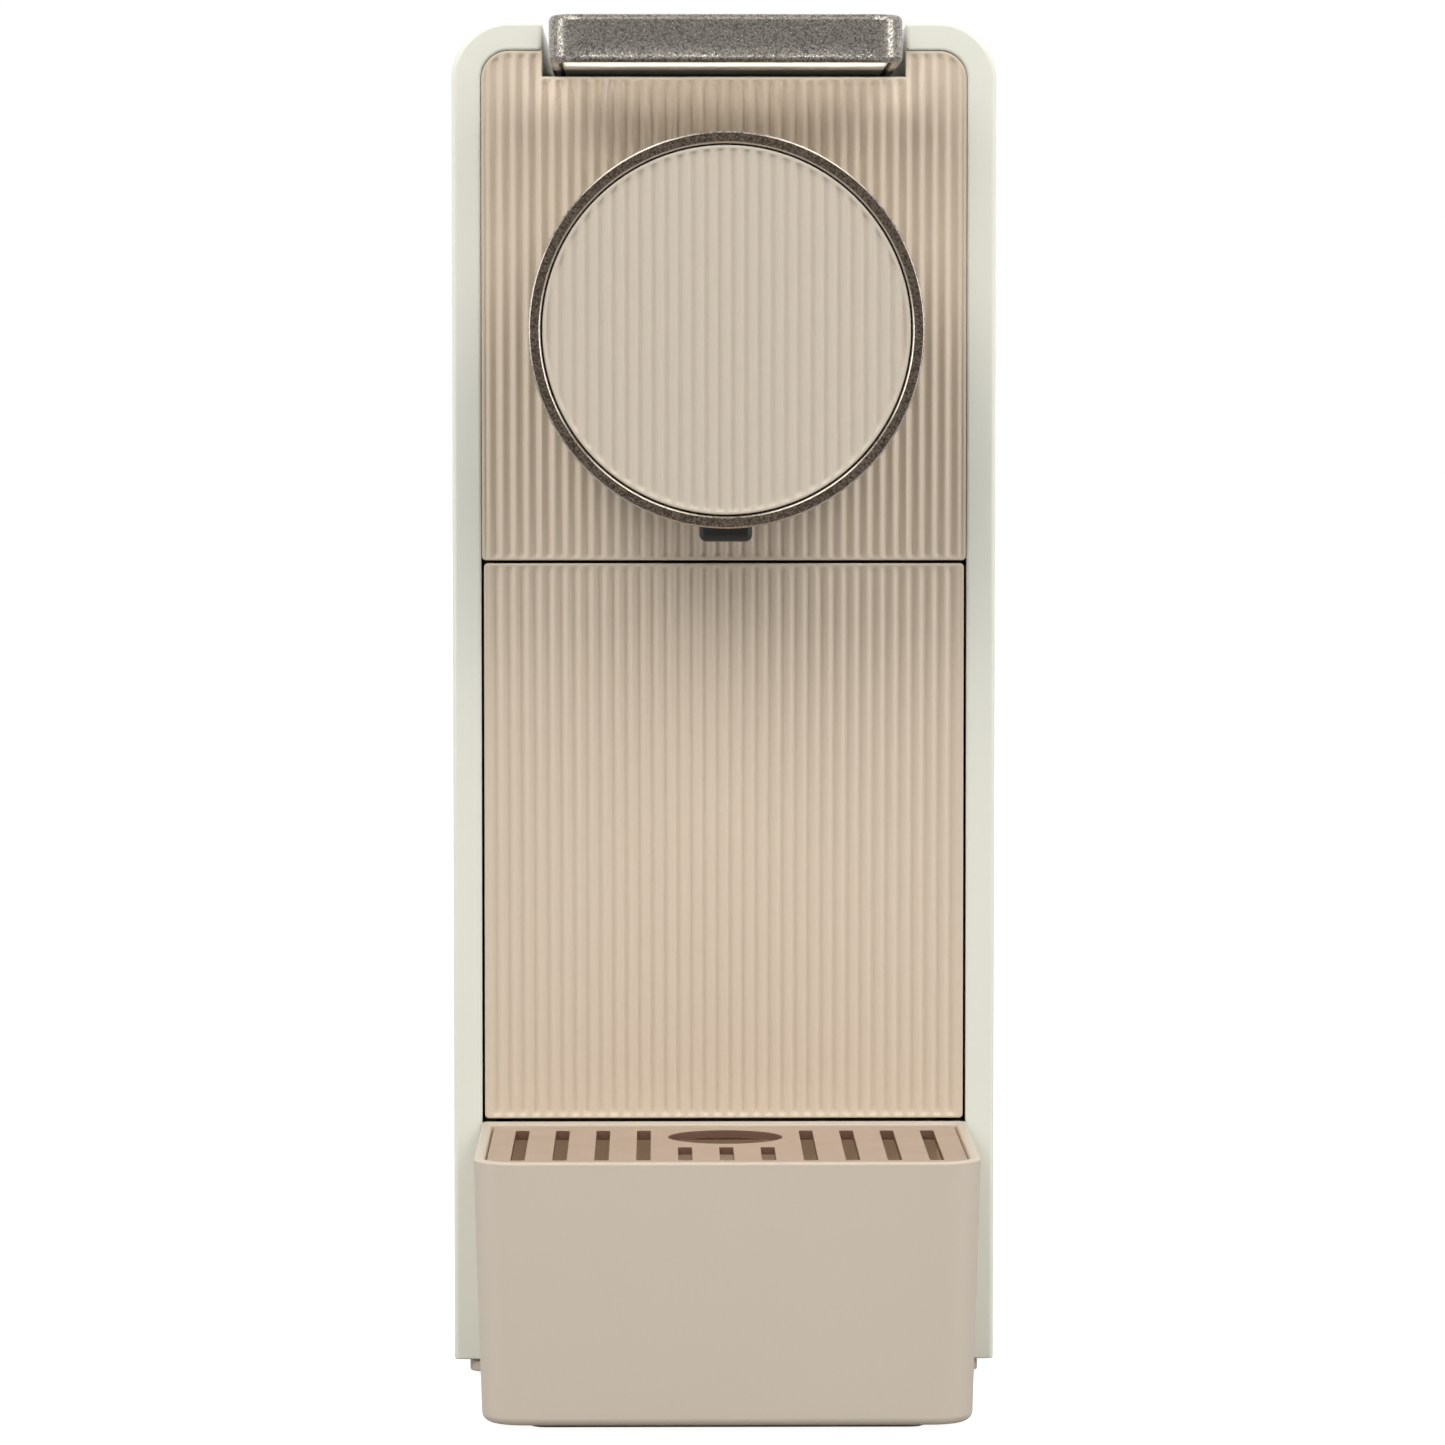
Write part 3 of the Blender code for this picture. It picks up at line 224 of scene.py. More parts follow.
def rubbery(name, colour, roughness, subsurface=0.0):
    """Rubber or silicone: cloudy, with a fine matt skin."""
    made = Finish(
        name,
        Specular_IOR_Level=0.35,
        Subsurface_Weight=subsurface,
        Subsurface_Scale=0.002,
    )
    cloud = made.noise(0.006, 3.0)
    made.drive("Base Color", made.blend(cloud, scaled(colour, 0.85), scaled(colour, 1.15)))
    made.drive("Roughness", made.ranged(cloud, roughness - 0.08, roughness + 0.08))
    made.bump(made.noise(0.0004, 2.0), 0.00002)
    return made.material


def brushed(name, colour, roughness, stretch):
    """Rolled, drawn or polished metal: fine scratches, drawn out by the stretch."""
    made = Finish(name, Metallic=1.0)
    scratches = made.noise(0.0009, 4.0, stretch)
    patches = made.noise(0.015, 3.0)
    made.drive("Base Color", made.blend(patches, scaled(colour, 0.88), scaled(colour, 1.06)))
    made.drive("Roughness", made.ranged(scratches, roughness - 0.10, roughness + 0.14, 0.3, 0.7))
    made.bump(scratches, 0.00001, 0.5)
    return made.material


def cast(name, colour):
    """Die-cast metal: dull, with a coarse skin."""
    made = Finish(name, Metallic=1.0)
    skin = made.noise(0.0012, 4.0)
    made.drive("Base Color", made.blend(skin, scaled(colour, 0.78), scaled(colour, 1.05)))
    made.drive("Roughness", made.ranged(skin, 0.38, 0.62, 0.3, 0.7))
    made.bump(skin, 0.00009)
    return made.material


def circuit_board():
    """Green solder mask over a net of copper tracks."""
    tracks_per_metre = 260
    made = Finish("circuit_board", Specular_IOR_Level=0.6, Coat_Weight=0.4, Coat_Roughness=0.15)
    tracks = made.nodes.new("ShaderNodeTexVoronoi")
    tracks.feature = "DISTANCE_TO_EDGE"
    tracks.inputs["Scale"].default_value = tracks_per_metre
    made.links.new(made.place, tracks.inputs["Vector"])
    edge = made.ranged(tracks.outputs["Distance"], 1.0, 0.0, 0.05, 0.09)
    made.drive("Base Color", made.blend(edge, (0.012, 0.085, 0.035), (0.04, 0.22, 0.09)))
    made.drive("Roughness", made.ranged(edge, 0.42, 0.3))
    made.bump(edge, 0.00004)
    return made.material


def floor_finish():
    """Pale matt floor of the studio, which the camera sees as white."""
    made = Finish("studio_floor", Roughness=0.9, Specular_IOR_Level=0.1)
    cloud = made.noise(0.6, 2.0)
    made.drive("Base Color", made.blend(cloud, (0.36, 0.36, 0.36), (0.40, 0.40, 0.40)))
    made.shader.inputs["Emission Color"].default_value = (1.0, 1.0, 1.0, 1.0)
    path = made.nodes.new("ShaderNodeLightPath")
    made.drive("Emission Strength", made.ranged(path.outputs["Is Camera Ray"], 0.0, 0.95))
    return made.material


FINISHES = {
    "cream": moulded("cream_plastic", (0.85, 0.85, 0.745), 0.34, coat=0.25),
    "cream_matt": moulded("cream_matt_plastic", (0.85, 0.81, 0.69), 0.7, specular=0.05),
    "beige": moulded("beige_plastic", (0.62, 0.53, 0.43), 0.42),
    "panel": moulded("panel_plastic", (0.73, 0.615, 0.48), 0.40),
    "disc": moulded("disc_plastic", (0.62, 0.54, 0.44), 0.42),
    "grille": moulded("grille_plastic", (0.43, 0.315, 0.24), 0.36, coat=0.2),
    # walls of the grille's openings: dark red-brown that is painted shade in the slots
    "grille_slot_shade": moulded("grille_slot_shade_plastic", (0.17, 0.09, 0.055), 0.6),
    # inside of the tray: plastic with a painted glow, light that no lamp gives
    "tray_inside_glow": painted_glow("tray_inside_painted_glow", (0.62, 0.50, 0.37), 0.45, 0.13),
    "champagne": flaked("champagne_lacquer", (0.15, 0.136, 0.12), (0.60, 0.55, 0.48), 0.34),
    "bronze": flaked("bronze_lacquer", (0.07, 0.05, 0.035), (0.30, 0.235, 0.18), 0.36),
    "polished": brushed("polished_edge", (0.62, 0.55, 0.47), 0.26, (1.0, 1.0, 1.0)),
    "black": moulded("dark_plastic", (0.028, 0.027, 0.026), 0.45, grain=0.0005, texture=0.00002),
    "coil": moulded("coil_plastic", (0.035, 0.033, 0.030), 0.55, grain=0.0008, texture=0.00004),
    "smoke": clear_smoke(),
    "rubber": rubbery("black_rubber", (0.045, 0.045, 0.045), 0.75),
    "silicone": rubbery("milky_silicone", (0.55, 0.55, 0.51), 0.45, 0.25),
    "steel": brushed("rolled_steel", (0.56, 0.56, 0.57), 0.32, (1.0, 1.0, 0.06)),
    "aluminium": cast("cast_aluminium", (0.62, 0.62, 0.62)),
    "board": circuit_board(),
}


# ------------------------------------------------------------------ outlines
def fillet(corners, steps=6):
    """Straight sides through (u, v, radius) corners, each rounded by its radius."""
    outline = []
    for i, (u, v, radius) in enumerate(corners):
        here = Vector((u, v))
        if not radius:
            outline.append(here)
            continue
        back = (Vector(corners[i - 1][:2]) - here).normalized()
        ahead = (Vector(corners[(i + 1) % len(corners)][:2]) - here).normalized()
        half = back.angle(ahead) / 2
        centre = here + (back + ahead).normalized() * radius / math.sin(half)
        start = here + back * radius / math.tan(half) - centre
        sweep = (math.pi - 2 * half) * (-1 if back.cross(ahead) > 0 else 1)
        outline += [
            centre + Matrix.Rotation(sweep * k / steps, 2) @ start for k in range(steps + 1)
        ]
    return outline


def pan(half, front, rear, front_radius, rear_radius, steps=10):
    """A rectangle with round corners, with the same number of points whatever its size."""
    front_radius, rear_radius = max(front_radius, LEAST), max(rear_radius, LEAST)
    corners = [
        (-half, front, front_radius),
        (half, front, front_radius),
        (half, rear, rear_radius),
        (-half, rear, rear_radius),
    ]
    return fillet(corners, steps)


def circle(centre, radius, steps):
    """Points on a whole circle."""
    return arc(centre, radius, 0, 360 * (steps - 1) / steps, steps - 1)


def arc(centre, radius, start, end, steps):
    """Points on an arc from one angle to another, in degrees."""
    angles = [math.radians(start + (end - start) * k / steps) for k in range(steps + 1)]
    return [
        Vector((centre[0] + radius * math.cos(a), centre[1] + radius * math.sin(a)))
        for a in angles
    ]


def rectangle(u, v, radius, steps=4):
    """A rectangle between pairs of coordinates, with round corners."""
    (u0, u1), (v0, v1) = u, v
    corners = [(u0, v0, radius), (u1, v0, radius), (u1, v1, radius), (u0, v1, radius)]
    return fillet(corners, steps)


# ------------------------------------------------------------------ skins
def skin(bm, rings, looped=False):
    """One closed skin through rings with equal numbers of points, capped or looped."""
    rows = [[bm.verts.new(point) for point in ring] for ring in rings]
    pairs = list(zip(rows, rows[1:]))
    if looped:
        pairs.append((rows[-1], rows[0]))
    for near, far in pairs:
        for i, vertex in enumerate(near):
            ahead = (i + 1) % len(near)
            bm.faces.new((vertex, near[ahead], far[ahead], far[i]))
    if not looped:
        bm.faces.new(rows[0])
        bm.faces.new(rows[-1])


def stack(bm, outline, profile, steps=5):
    """A skin whose rings are outline(inset, z), for an open profile of (inset, z, radius) corners."""
    skin(
        bm,
        [[(u, v, z) for u, v in outline(inset, z)] for inset, z in fillet(profile, steps)],
    )


def turned(bm, place, section, steps, looped=False):
    """A solid of revolution about the Z axis of place, from (radius, height) points."""
    angles = [math.tau * k / steps for k in range(steps)]
    skin(
        bm,
        [
            [place @ Vector((r * math.cos(a), r * math.sin(a), h)) for a in angles]
            for r, h in section
        ],
        looped,
    )


def block(bm, x, y, z, edge=0.0004, corner=0.0004):
    """A box between pairs of coordinates, with rounded edges and upright corners."""

    def outline(inset, height):
        u, v = (x[0] + inset, x[1] - inset), (y[0] + inset, y[1] - inset)
        return rectangle(u, v, max(corner - inset, LEAST))

    start = 1.5 * edge
    stack(bm, outline, [(start, z[0], 0), (0, z[0], edge), (0, z[1], edge), (start, z[1], 0)])


def settle(piece):
    """Smooth shading that keeps flat faces flat and sharp edges sharp."""
    piece.data.shade_smooth()
    piece.data.set_sharp_from_angle(angle=SMOOTH_ANGLE)
    even = piece.modifiers.new("even_normals", "WEIGHTED_NORMAL")
    even.keep_sharp = True
    even.weight = 75


def show(bm, node, finish=None):
    """Turns finished skins into the piece that stands for a CAD node, on that node's body."""
    bmesh.ops.recalc_face_normals(bm, faces=bm.faces)
    name = f"fine_{node}"
    mesh = bpy.data.meshes.new(name)
    bm.to_mesh(mesh)
    bm.free()
    mesh.materials.append(FINISHES[finish or SLOT_OF[node]])
    piece = bpy.data.objects.new(name, mesh)
    bpy.context.scene.collection.objects.link(piece)
    settle(piece)
    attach(piece, BODY_OF[node])
    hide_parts(node)
    return piece


def mark(bm, chosen):
    """Gives the faces that a test chooses the second finish of their piece."""
    bmesh.ops.recalc_face_normals(bm, faces=bm.faces)
    for face in bm.faces:
        face.material_index = int(chosen(face))


def evaluated(source):
    """The mesh of an object with its modifiers, as a bmesh; the object is removed."""
    bpy.context.view_layer.update()
    graph = bpy.context.evaluated_depsgraph_get()
    mesh = bpy.data.meshes.new_from_object(source.evaluated_get(graph))
    bm = bmesh.new()
    bm.from_mesh(mesh)
    bmesh.ops.remove_doubles(bm, verts=bm.verts, dist=1e-7)
    bpy.data.objects.remove(source)
    bpy.data.meshes.remove(mesh)
    return bm


def loose(bm, name):
    """A bmesh as an object that isn't a piece yet."""
    bmesh.ops.recalc_face_normals(bm, faces=bm.faces)
    mesh = bpy.data.meshes.new(name)
    bm.to_mesh(mesh)
    bm.free()
    made = bpy.data.objects.new(name, mesh)
    bpy.context.scene.collection.objects.link(made)
    return made


def carve(bm, cutter_bm):
    """The first skin less the second."""
    body, cutter = loose(bm, "uncut"), loose(cutter_bm, "cutter")
    modifier = body.modifiers.new("cut", "BOOLEAN")
    modifier.operation = "DIFFERENCE"
    modifier.object = cutter
    made = evaluated(body)
    bpy.data.objects.remove(cutter)
    return made


def merge(bm, other):
    """Adds the second skin to the first."""
    mesh = bpy.data.meshes.new("part")
    other.to_mesh(mesh)
    other.free()
    bm.from_mesh(mesh)
    bpy.data.meshes.remove(mesh)


def plate(low, high, edge, outline, holes):
    """A flat plate with holes and rounded rims, between two heights."""
    curve = bpy.data.curves.new("plate", "CURVE")
    curve.dimensions = "2D"
    curve.fill_mode = "BOTH"
    curve.extrude = (high - low) / 2 - edge
    curve.bevel_depth = edge
    curve.offset = -edge
    curve.bevel_resolution = 3
    for loop in (outline, *holes):
        spline = curve.splines.new("POLY")
        spline.points.add(len(loop) - 1)
        for point, (u, v) in zip(spline.points, loop):
            point.co = (u, v, 0, 1)
        spline.use_cyclic_u = True
    guide = bpy.data.objects.new("plate", curve)
    guide.location.z = (low + high) / 2
    bpy.context.scene.collection.objects.link(guide)
    bm = evaluated(guide)
    bmesh.ops.translate(bm, vec=(0, 0, (low + high) / 2), verts=bm.verts)
    return bm


# ------------------------------------------------------------------ side covers
def cover_section(inset, front, rear):
    """(depth into the wall, y) points round the wall and its front band, drawn in by the inset."""
    nose, band_edge, soft, root = 0.0010, 0.0006, 0.0005, 0.0006
    back = front + BAND_DEPTH
    corners = [
        (inset, rear - inset, soft - inset),
        (inset, front + inset, nose - inset),
        (BAND - inset, front + inset, band_edge - inset),
        (BAND - inset, back - inset, soft - inset),
        (WALL - inset, back - inset, root + inset),
        (WALL - inset, rear - inset, soft - inset),
    ]
    return fillet([(d, y, max(radius, LEAST)) for d, y, radius in corners], 5)


def cover_stations(half, end, bottom, top):
    """(point, way out, inset) up one side cover, round its shoulder and in to its top end."""
    foot_round, end_round, round_steps, shoulder_steps = 0.0004, 0.0011, 5, 24
    up, across = Vector((0, 1)), Vector((1, 0))
    corner = Vector((half - SHOULDER_RADIUS, top - SHOULDER_RADIUS))
    stations = []
    for k in range(round_steps + 1):
        t = math.pi / 2 * (1 - k / round_steps)
        foot = Vector((half, bottom + foot_round * (1 - math.sin(t))))
        stations.append((foot, across, foot_round * (1 - math.cos(t))))
    for k in range(shoulder_steps + 1):
        t = math.pi / 2 * k / shoulder_steps
        out = Vector((math.cos(t), math.sin(t)))
        stations.append((corner + out * SHOULDER_RADIUS, out, 0.0))
    for k in range(round_steps + 1):
        t = math.pi / 2 * k / round_steps
        tip = Vector((end + end_round * (1 - math.sin(t)), top))
        stations.append((tip, up, end_round * (1 - math.cos(t))))
    return stations


def side_cover(word, side):
    """A wall that bends over at the shoulder, with its front band and a lip beside the lever."""
    (x0, x1), (front, rear), (bottom, top) = spans(f"{word}_cover")
    half, end = max(abs(x0), abs(x1)), min(abs(x0), abs(x1))
    bm = bmesh.new()
    rings = []
    for point, out, inset in cover_stations(half, end, bottom, top):
        ring = []
        for depth, y in cover_section(inset, front, rear):
            x, z = point - out * depth
            ring.append((side * x, y, z))
        rings.append(ring)
    skin(bm, rings)
    lip_x = sorted((side * end, side * (end + THIN)))
    lip_z = (LIP_LOW, top - 0.0012)
    block(bm, lip_x, (front + WALL + 0.0004, rear), lip_z, 0.0005)
    show(bm, f"{word}_cover")


# ------------------------------------------------------------------ ribbed panels
def crest(x, pitch):
    """How high the ribs stand at x: broad crests between narrower valleys."""
    return (0.5 + 0.5 * math.cos(math.tau * x / pitch)) ** CREST_SHARPNESS


def outward(loop):
    """The outward mitre direction at each point of an (x, z) outline that runs anticlockwise."""
    found = []
    for i, here in enumerate(loop):
        before = (here - loop[i - 1]).normalized()
        after = (loop[(i + 1) % len(loop)] - here).normalized()
        first, second = Vector((before.y, -before.x)), Vector((after.y, -after.x))
        found.append((first + second) / (1 + first.dot(second)))
    return found


def ribbed(columns, reach, clear, front, back, pitch=RIB_PITCH):
    """A plate whose front carries upright ribs inside a plain border.

    columns: where the rows of points stand. reach(x): lowest and highest point of the sheet there.
    clear(x, z): distance to the plate's rim. The sheet ends at RIM inside it.
    """
    bm = bmesh.new()
    grid = []
    for x in columns:
        low, high = reach(x)
        column = []
        for k in range(RIB_ROWS + 1):
            z = (low + high) / 2 - (high - low) / 2 * math.cos(math.pi * k / RIB_ROWS)
            share = (clear(x, z) - BORDER_START) / (BORDER_END - BORDER_START)
            fade = min(1.0, max(0.0, share))
            depth = RIB_DEPTH * (1 - crest(x, pitch)) * fade * fade * (3 - 2 * fade)
            column.append(bm.verts.new((x, front + depth, z)))
        grid.append(column)
    for left, right in zip(grid, grid[1:]):
        for k in range(RIB_ROWS):
            bm.faces.new((left[k], right[k], right[k + 1], left[k + 1]))
    loop = [column[0] for column in grid]
    loop += grid[-1][1:]
    loop += [column[-1] for column in reversed(grid[:-1])]
    loop += reversed(grid[0][1:-1])
    places = [Vector((vertex.co.x, vertex.co.z)) for vertex in loop]
    ways = outward(places)
    rim_steps = 4
    turns = [math.pi / 2 * k / rim_steps for k in range(1, rim_steps + 1)]
    profile = [(RIM * math.sin(t), RIM * (1 - math.cos(t))) for t in turns]
    profile.append((RIM, back - front))
    for out, depth in profile:
        ring = [
            bm.verts.new((place.x + way.x * out, front + depth, place.y + way.y * out))
            for place, way in zip(places, ways)
        ]
        for i, vertex in enumerate(loop):
            ahead = (i + 1) % len(loop)
            bm.faces.new((vertex, loop[ahead], ring[ahead], ring[i]))
        loop = ring
    bm.faces.new(loop)
    return bm


def panel(node, top_corner, low_corner, notch_half=0.0, notch_floor=0.0, tight=0.0):
    """A ribbed front panel with round corners and an optional notch in its top edge.

    tight: how much the panel closes its gap to the covers at the sides and the top.
    """
    (_, half), (front, back), (bottom, top) = spans(node)
    half, top = half + tight, top + tight
    radius = max(top_corner, low_corner) - RIM
    straight = half - RIM - radius
    bays = math.ceil(straight / RIB_STEP)
    columns = [straight * k / bays for k in range(bays + 1)]
    turns = max(6, math.ceil(radius * math.pi / 2 / RIB_STEP))
    columns += [straight + radius * math.sin(math.pi / 2 * k / turns) for k in range(1, turns + 1)]
    step = notch_half + RIM
    if notch_half:
        least_gap = 0.0003
        kept = [x for x in columns if abs(x - step) > least_gap]
        columns = sorted(kept + [step, step + LEAST])
    columns = [-x for x in reversed(columns[1:])] + columns

    def rounding(x, corner):
        past = max(0.0, abs(x) - (half - corner))
        return (corner - RIM) - math.sqrt(max(0.0, (corner - RIM) ** 2 - past**2))

    def reach(x):
        ceiling = notch_floor if abs(x) <= step + LEAST / 2 and notch_half else top
        return bottom + RIM + rounding(x, low_corner), ceiling - RIM - rounding(x, top_corner)

    def clear(x, z):
        across = abs(x)
        found = [half - across, z - bottom, top - z]
        for corner, rise in ((top_corner, z - top), (low_corner, bottom - z)):
            if across > half - corner and rise > -corner:
                found.append(corner - math.hypot(across - half + corner, rise + corner))
        if notch_half:
            beside, below = max(0.0, across - notch_half), max(0.0, notch_floor - z)
            found.append(math.hypot(beside, below))
        return min(found)

    return ribbed(columns, reach, clear, front, back)


def front_panels():
    """The upper panel, notched for the lever and bored for the head, and the lower panel."""
    _, (front, back), _ = spans("front_upper_panel")
    notch_half, notch_floor, past = 0.0353, 0.2546, 0.001
    tight, low_corner = 0.0002, 0.0008
    top_corner = SHOULDER_RADIUS - BAND - 0.0001
    upper = panel("front_upper_panel", top_corner, low_corner, notch_half, notch_floor, tight)
    bore = bmesh.new()
    section = [(HEAD_OPENING, -front + past), (HEAD_OPENING, -back - past)]
    turned(bore, head_axis(), section, 96)
    show(carve(upper, bore), "front_upper_panel", "panel")
    show(panel("container_panel", low_corner, low_corner), "container_panel", "panel")


# ------------------------------------------------------------------ brew head
def head_axis():
    """A frame whose Z axis points out of the front, with its origin on the head's axis at y = 0."""
    return Matrix.Translation((0, 0, HEAD_Z)) @ Matrix.Rotation(math.pi / 2, 4, "X")


def head_disc():
    """The ribbed disc. Near its sides the columns of points follow the circle."""
    (_, radius), (front, back), _ = spans("head_disc")
    inner = radius - RIM
    bend = math.radians(20)
    bays = math.ceil(inner * math.cos(bend) / RIB_STEP)
    columns = [inner * math.cos(bend) * k / bays for k in range(bays + 1)]
    angles = [math.radians(half_degrees / 2) for half_degrees in range(37, 3, -3)]
    columns += [inner * math.cos(angle) for angle in angles]
    columns = [-x for x in reversed(columns[1:])] + columns

    def reach(x):
        rise = math.sqrt(inner**2 - x**2)
        return HEAD_Z - rise, HEAD_Z + rise

    def clear(x, z):
        return radius - math.hypot(x, z - HEAD_Z)

    show(ribbed(columns, reach, clear, front, back, DISC_PITCH), "head_disc", "disc")


def head_ring():
    """The bronze ring round the disc, with polished chamfers on its front edges."""
    (_, disc_radius), _, _ = spans("head_disc")
    (_, outer), (front, back), _ = spans("head_ring")
    bore, edge = disc_radius + 0.00035, 0.0003
    soft, tight = 0.0001, 0.00005
    section = [
        (bore, -back, soft),
        (outer, -back, soft),
        (outer, -front - edge, tight),
        (outer - edge, -front, tight),
        (bore + edge, -front, tight),
        (bore, -front - edge, tight),
    ]
    bm = bmesh.new()
    turned(bm, head_axis(), fillet(section, 3), 192, looped=True)

    def on_chamfer(face):
        middle = face.calc_center_median()
        reach = math.hypot(middle.x, middle.z - HEAD_Z)
        return min(outer - reach, reach - bore) < edge and middle.y < front + edge

    mark(bm, on_chamfer)
    ring = show(bm, "head_ring")
    ring.data.materials.append(FINISHES["polished"])


def head_barrel():
    """A cup that opens to the rear, with a slot for the spout in its underside."""
    (_, outer), (front, back), _ = spans("head_barrel")
    cap = 0.002  # radius of the flat faces that close it at the axis
    section = [
        (cap, -front, 0),
        (outer, -front, 0.0004),
        (outer, -back, 0.0002),
        (outer - WALL, -back, 0.0002),
        (outer - WALL, -front - WALL, 0.0006),
        (cap, -front - WALL, 0),
    ]
    barrel = bmesh.new()
    turned(barrel, head_axis(), fillet(section, 5), 128)
    (x0, x1), (y0, y1), (bottom, top) = spans("spout_nozzle")
    slack, past = 0.0004, 0.002
    slot = bmesh.new()
    block(slot, (x0 - slack, x1 + slack), (y0 - slack, y1 + slack), (bottom - past, top), 0.0002)
    show(carve(barrel, slot), "head_barrel")


def spout_nozzle():
    """The spout, a block with large edge rounds."""
    x, y, z = spans("spout_nozzle")
    edge = 0.0013
    bm = bmesh.new()
    block(bm, x, y, z, edge, edge)
    show(bm, "spout_nozzle")


# ------------------------------------------------------------------ lever
def lever_skin():
    """The lever's metal cover: a tray upside down, a curved strip over the hub and two ears."""
    (_, half), (front, _), (_, top) = spans("lever_skin")
    pivot_y, pivot_z = LEVER_PIVOT
    edge = 0.0012
    hub_start, hub_end, hub_steps = 94, 20, 40  # degrees round the pivot: 0 is rear, 90 is up
    ear_reach, ear_round, pin_bore = 0.0085, 0.008, 0.0033

    def outline(inset, z):
        return pan(half - inset, front + inset, pivot_y - inset, LEVER_CORNER - inset, LEAST)

    bm = bmesh.new()
    profile = [
        (0.004, top, 0),
        (0, top, edge),
        (0, LEVER_BOTTOM, edge),
        (THIN, LEVER_BOTTOM, 0.0004),
        (THIN, top - THIN, 0.0008),
        (THIN + 0.003, top - THIN, 0),
    ]
    stack(bm, outline, profile)
    outer = top - pivot_z
    section = fillet(
        [
            (-half, outer - THIN, 0.0003),
            (half, outer - THIN, 0.0003),
            (half, outer, edge),
            (-half, outer, edge),
        ]
    )
    rings = []
    for k in range(hub_steps + 1):
        angle = math.radians(hub_start + (hub_end - hub_start) * k / hub_steps)
        rings.append(
            [
                (x, pivot_y + reach * math.cos(angle), pivot_z + reach * math.sin(angle))
                for x, reach in section
            ]
        )
    skin(bm, rings)
    ear = (
        arc(LEVER_PIVOT, outer - THIN / 2, 90, hub_end, 24)
        + arc(LEVER_PIVOT, ear_round, -20, -160, 20)
        + [Vector((pivot_y - ear_reach, z)) for z in (LEVER_BOTTOM + 0.001, top - 0.001)]
    )
    turn = Matrix(((0, 0, 1, 0), (1, 0, 0, 0), (0, 1, 0, 0), (0, 0, 0, 1)))
    for side in SIDES.values():
        x = sorted((side * (half - THIN), side * (half - 0.0001)))
        piece = plate(*x, 0.0003, ear, [circle(LEVER_PIVOT, pin_bore, 32)])
        bmesh.ops.transform(piece, matrix=turn, verts=piece.verts)
        merge(bm, piece)
    show(bm, "lever_skin")


def lever_insert():
    """The cream block inside the lever, which shows as a strip under its front edge."""
    (_, half), (front, rear), (bottom, top) = spans("lever_insert")

    def outline(inset, z):
        return pan(half - inset, front + inset, rear - inset, LEVER_CORNER - THIN - inset, 0.0004)

    bm = bmesh.new()
    stack(bm, outline, [(0.003, bottom, 0), (0, bottom, 0.0005), (0, top, 0.0004), (0.003, top, 0)])
    show(bm, "lever_insert", "cream_matt")


# ------------------------------------------------------------------ drawer
def carrier(bm, front, rear):
    """The low box behind the tray that carries the capsule bin."""
    half, corner, front_wall = 0.0435, 0.003, 0.0032
    bottom, top = 0.0033, 0.018
    floor, cap = bottom + THIN, 0.005

    def outline(inset, z):
        u, v = (-half + inset, half - inset), (front + inset * front_wall / THIN, rear - inset)
        return rectangle(u, v, max(corner - inset, LEAST))

    profile = [
        (cap, bottom, 0),
        (0, bottom, 0.001),
        (0, top, 0.0006),
        (THIN, top, 0.0006),
        (THIN, floor, 0.0008),
        (cap, floor, 0),
    ]
    stack(bm, outline, profile)


def drip_tray():
    """The tray, wider at the top, with the grille's ledges and the carrier of the bin behind it."""
    (_, half), (front, carrier_rear), (pad_low, top) = spans("drip_tray")
    low_half, bottom = 0.0459, 0.0012
    rear, rear_wall, rear_corner = -0.1003, 0.0047, 0.0010

    def outline(inset, z):
        share = (z - bottom) / (top - bottom)
        wide = low_half + (half - low_half) * share - inset
        back = rear - inset * rear_wall / THIN
        return pan(wide, front + inset, back, TRAY_CORNER - inset, rear_corner)

    bm = bmesh.new()
    rim, foot, sump = 0.0005, 0.0016, 0.0015
    profile = [
        (0.005, bottom, 0),
        (0, bottom, foot),
        (0, top, rim),
        (THIN, top, rim),
        (THIN, bottom + THIN, sump),
        (THIN + 0.004, bottom + THIN, 0),
    ]
    stack(bm, outline, profile)
    pad_half, pad_y = 0.037, (-0.160, -0.108)
    block(bm, (-pad_half, pad_half), pad_y, (pad_low, bottom + 0.001), 0.0003, 0.003)
    ledge_inner, ledge_outer, ledge_z = 0.0415, 0.0453, (0.044, 0.0472)
    for side in SIDES.values():
        ledge = sorted((side * ledge_inner, side * ledge_outer))
        block(bm, ledge, (front + 0.010, rear - 0.002), ledge_z)
    carrier(bm, rear - 0.0005, carrier_rear)

    # the faces inside the tray take the second finish, whose glow is painted light
    def inside(face):
        middle, normal = face.calc_center_median(), face.normal
        faces_out = normal.x * middle.x + normal.y * (middle.y - (front + rear) / 2)
        in_tray = middle.y < rear - THIN / 2 and bottom + THIN / 2 < middle.z < top - rim
        return in_tray and faces_out < 0.001

    mark(bm, inside)
    tray = show(bm, "drip_tray", "disc")
    # second finish: the painted glow inside the tray
    tray.data.materials.append(FINISHES["tray_inside_glow"])


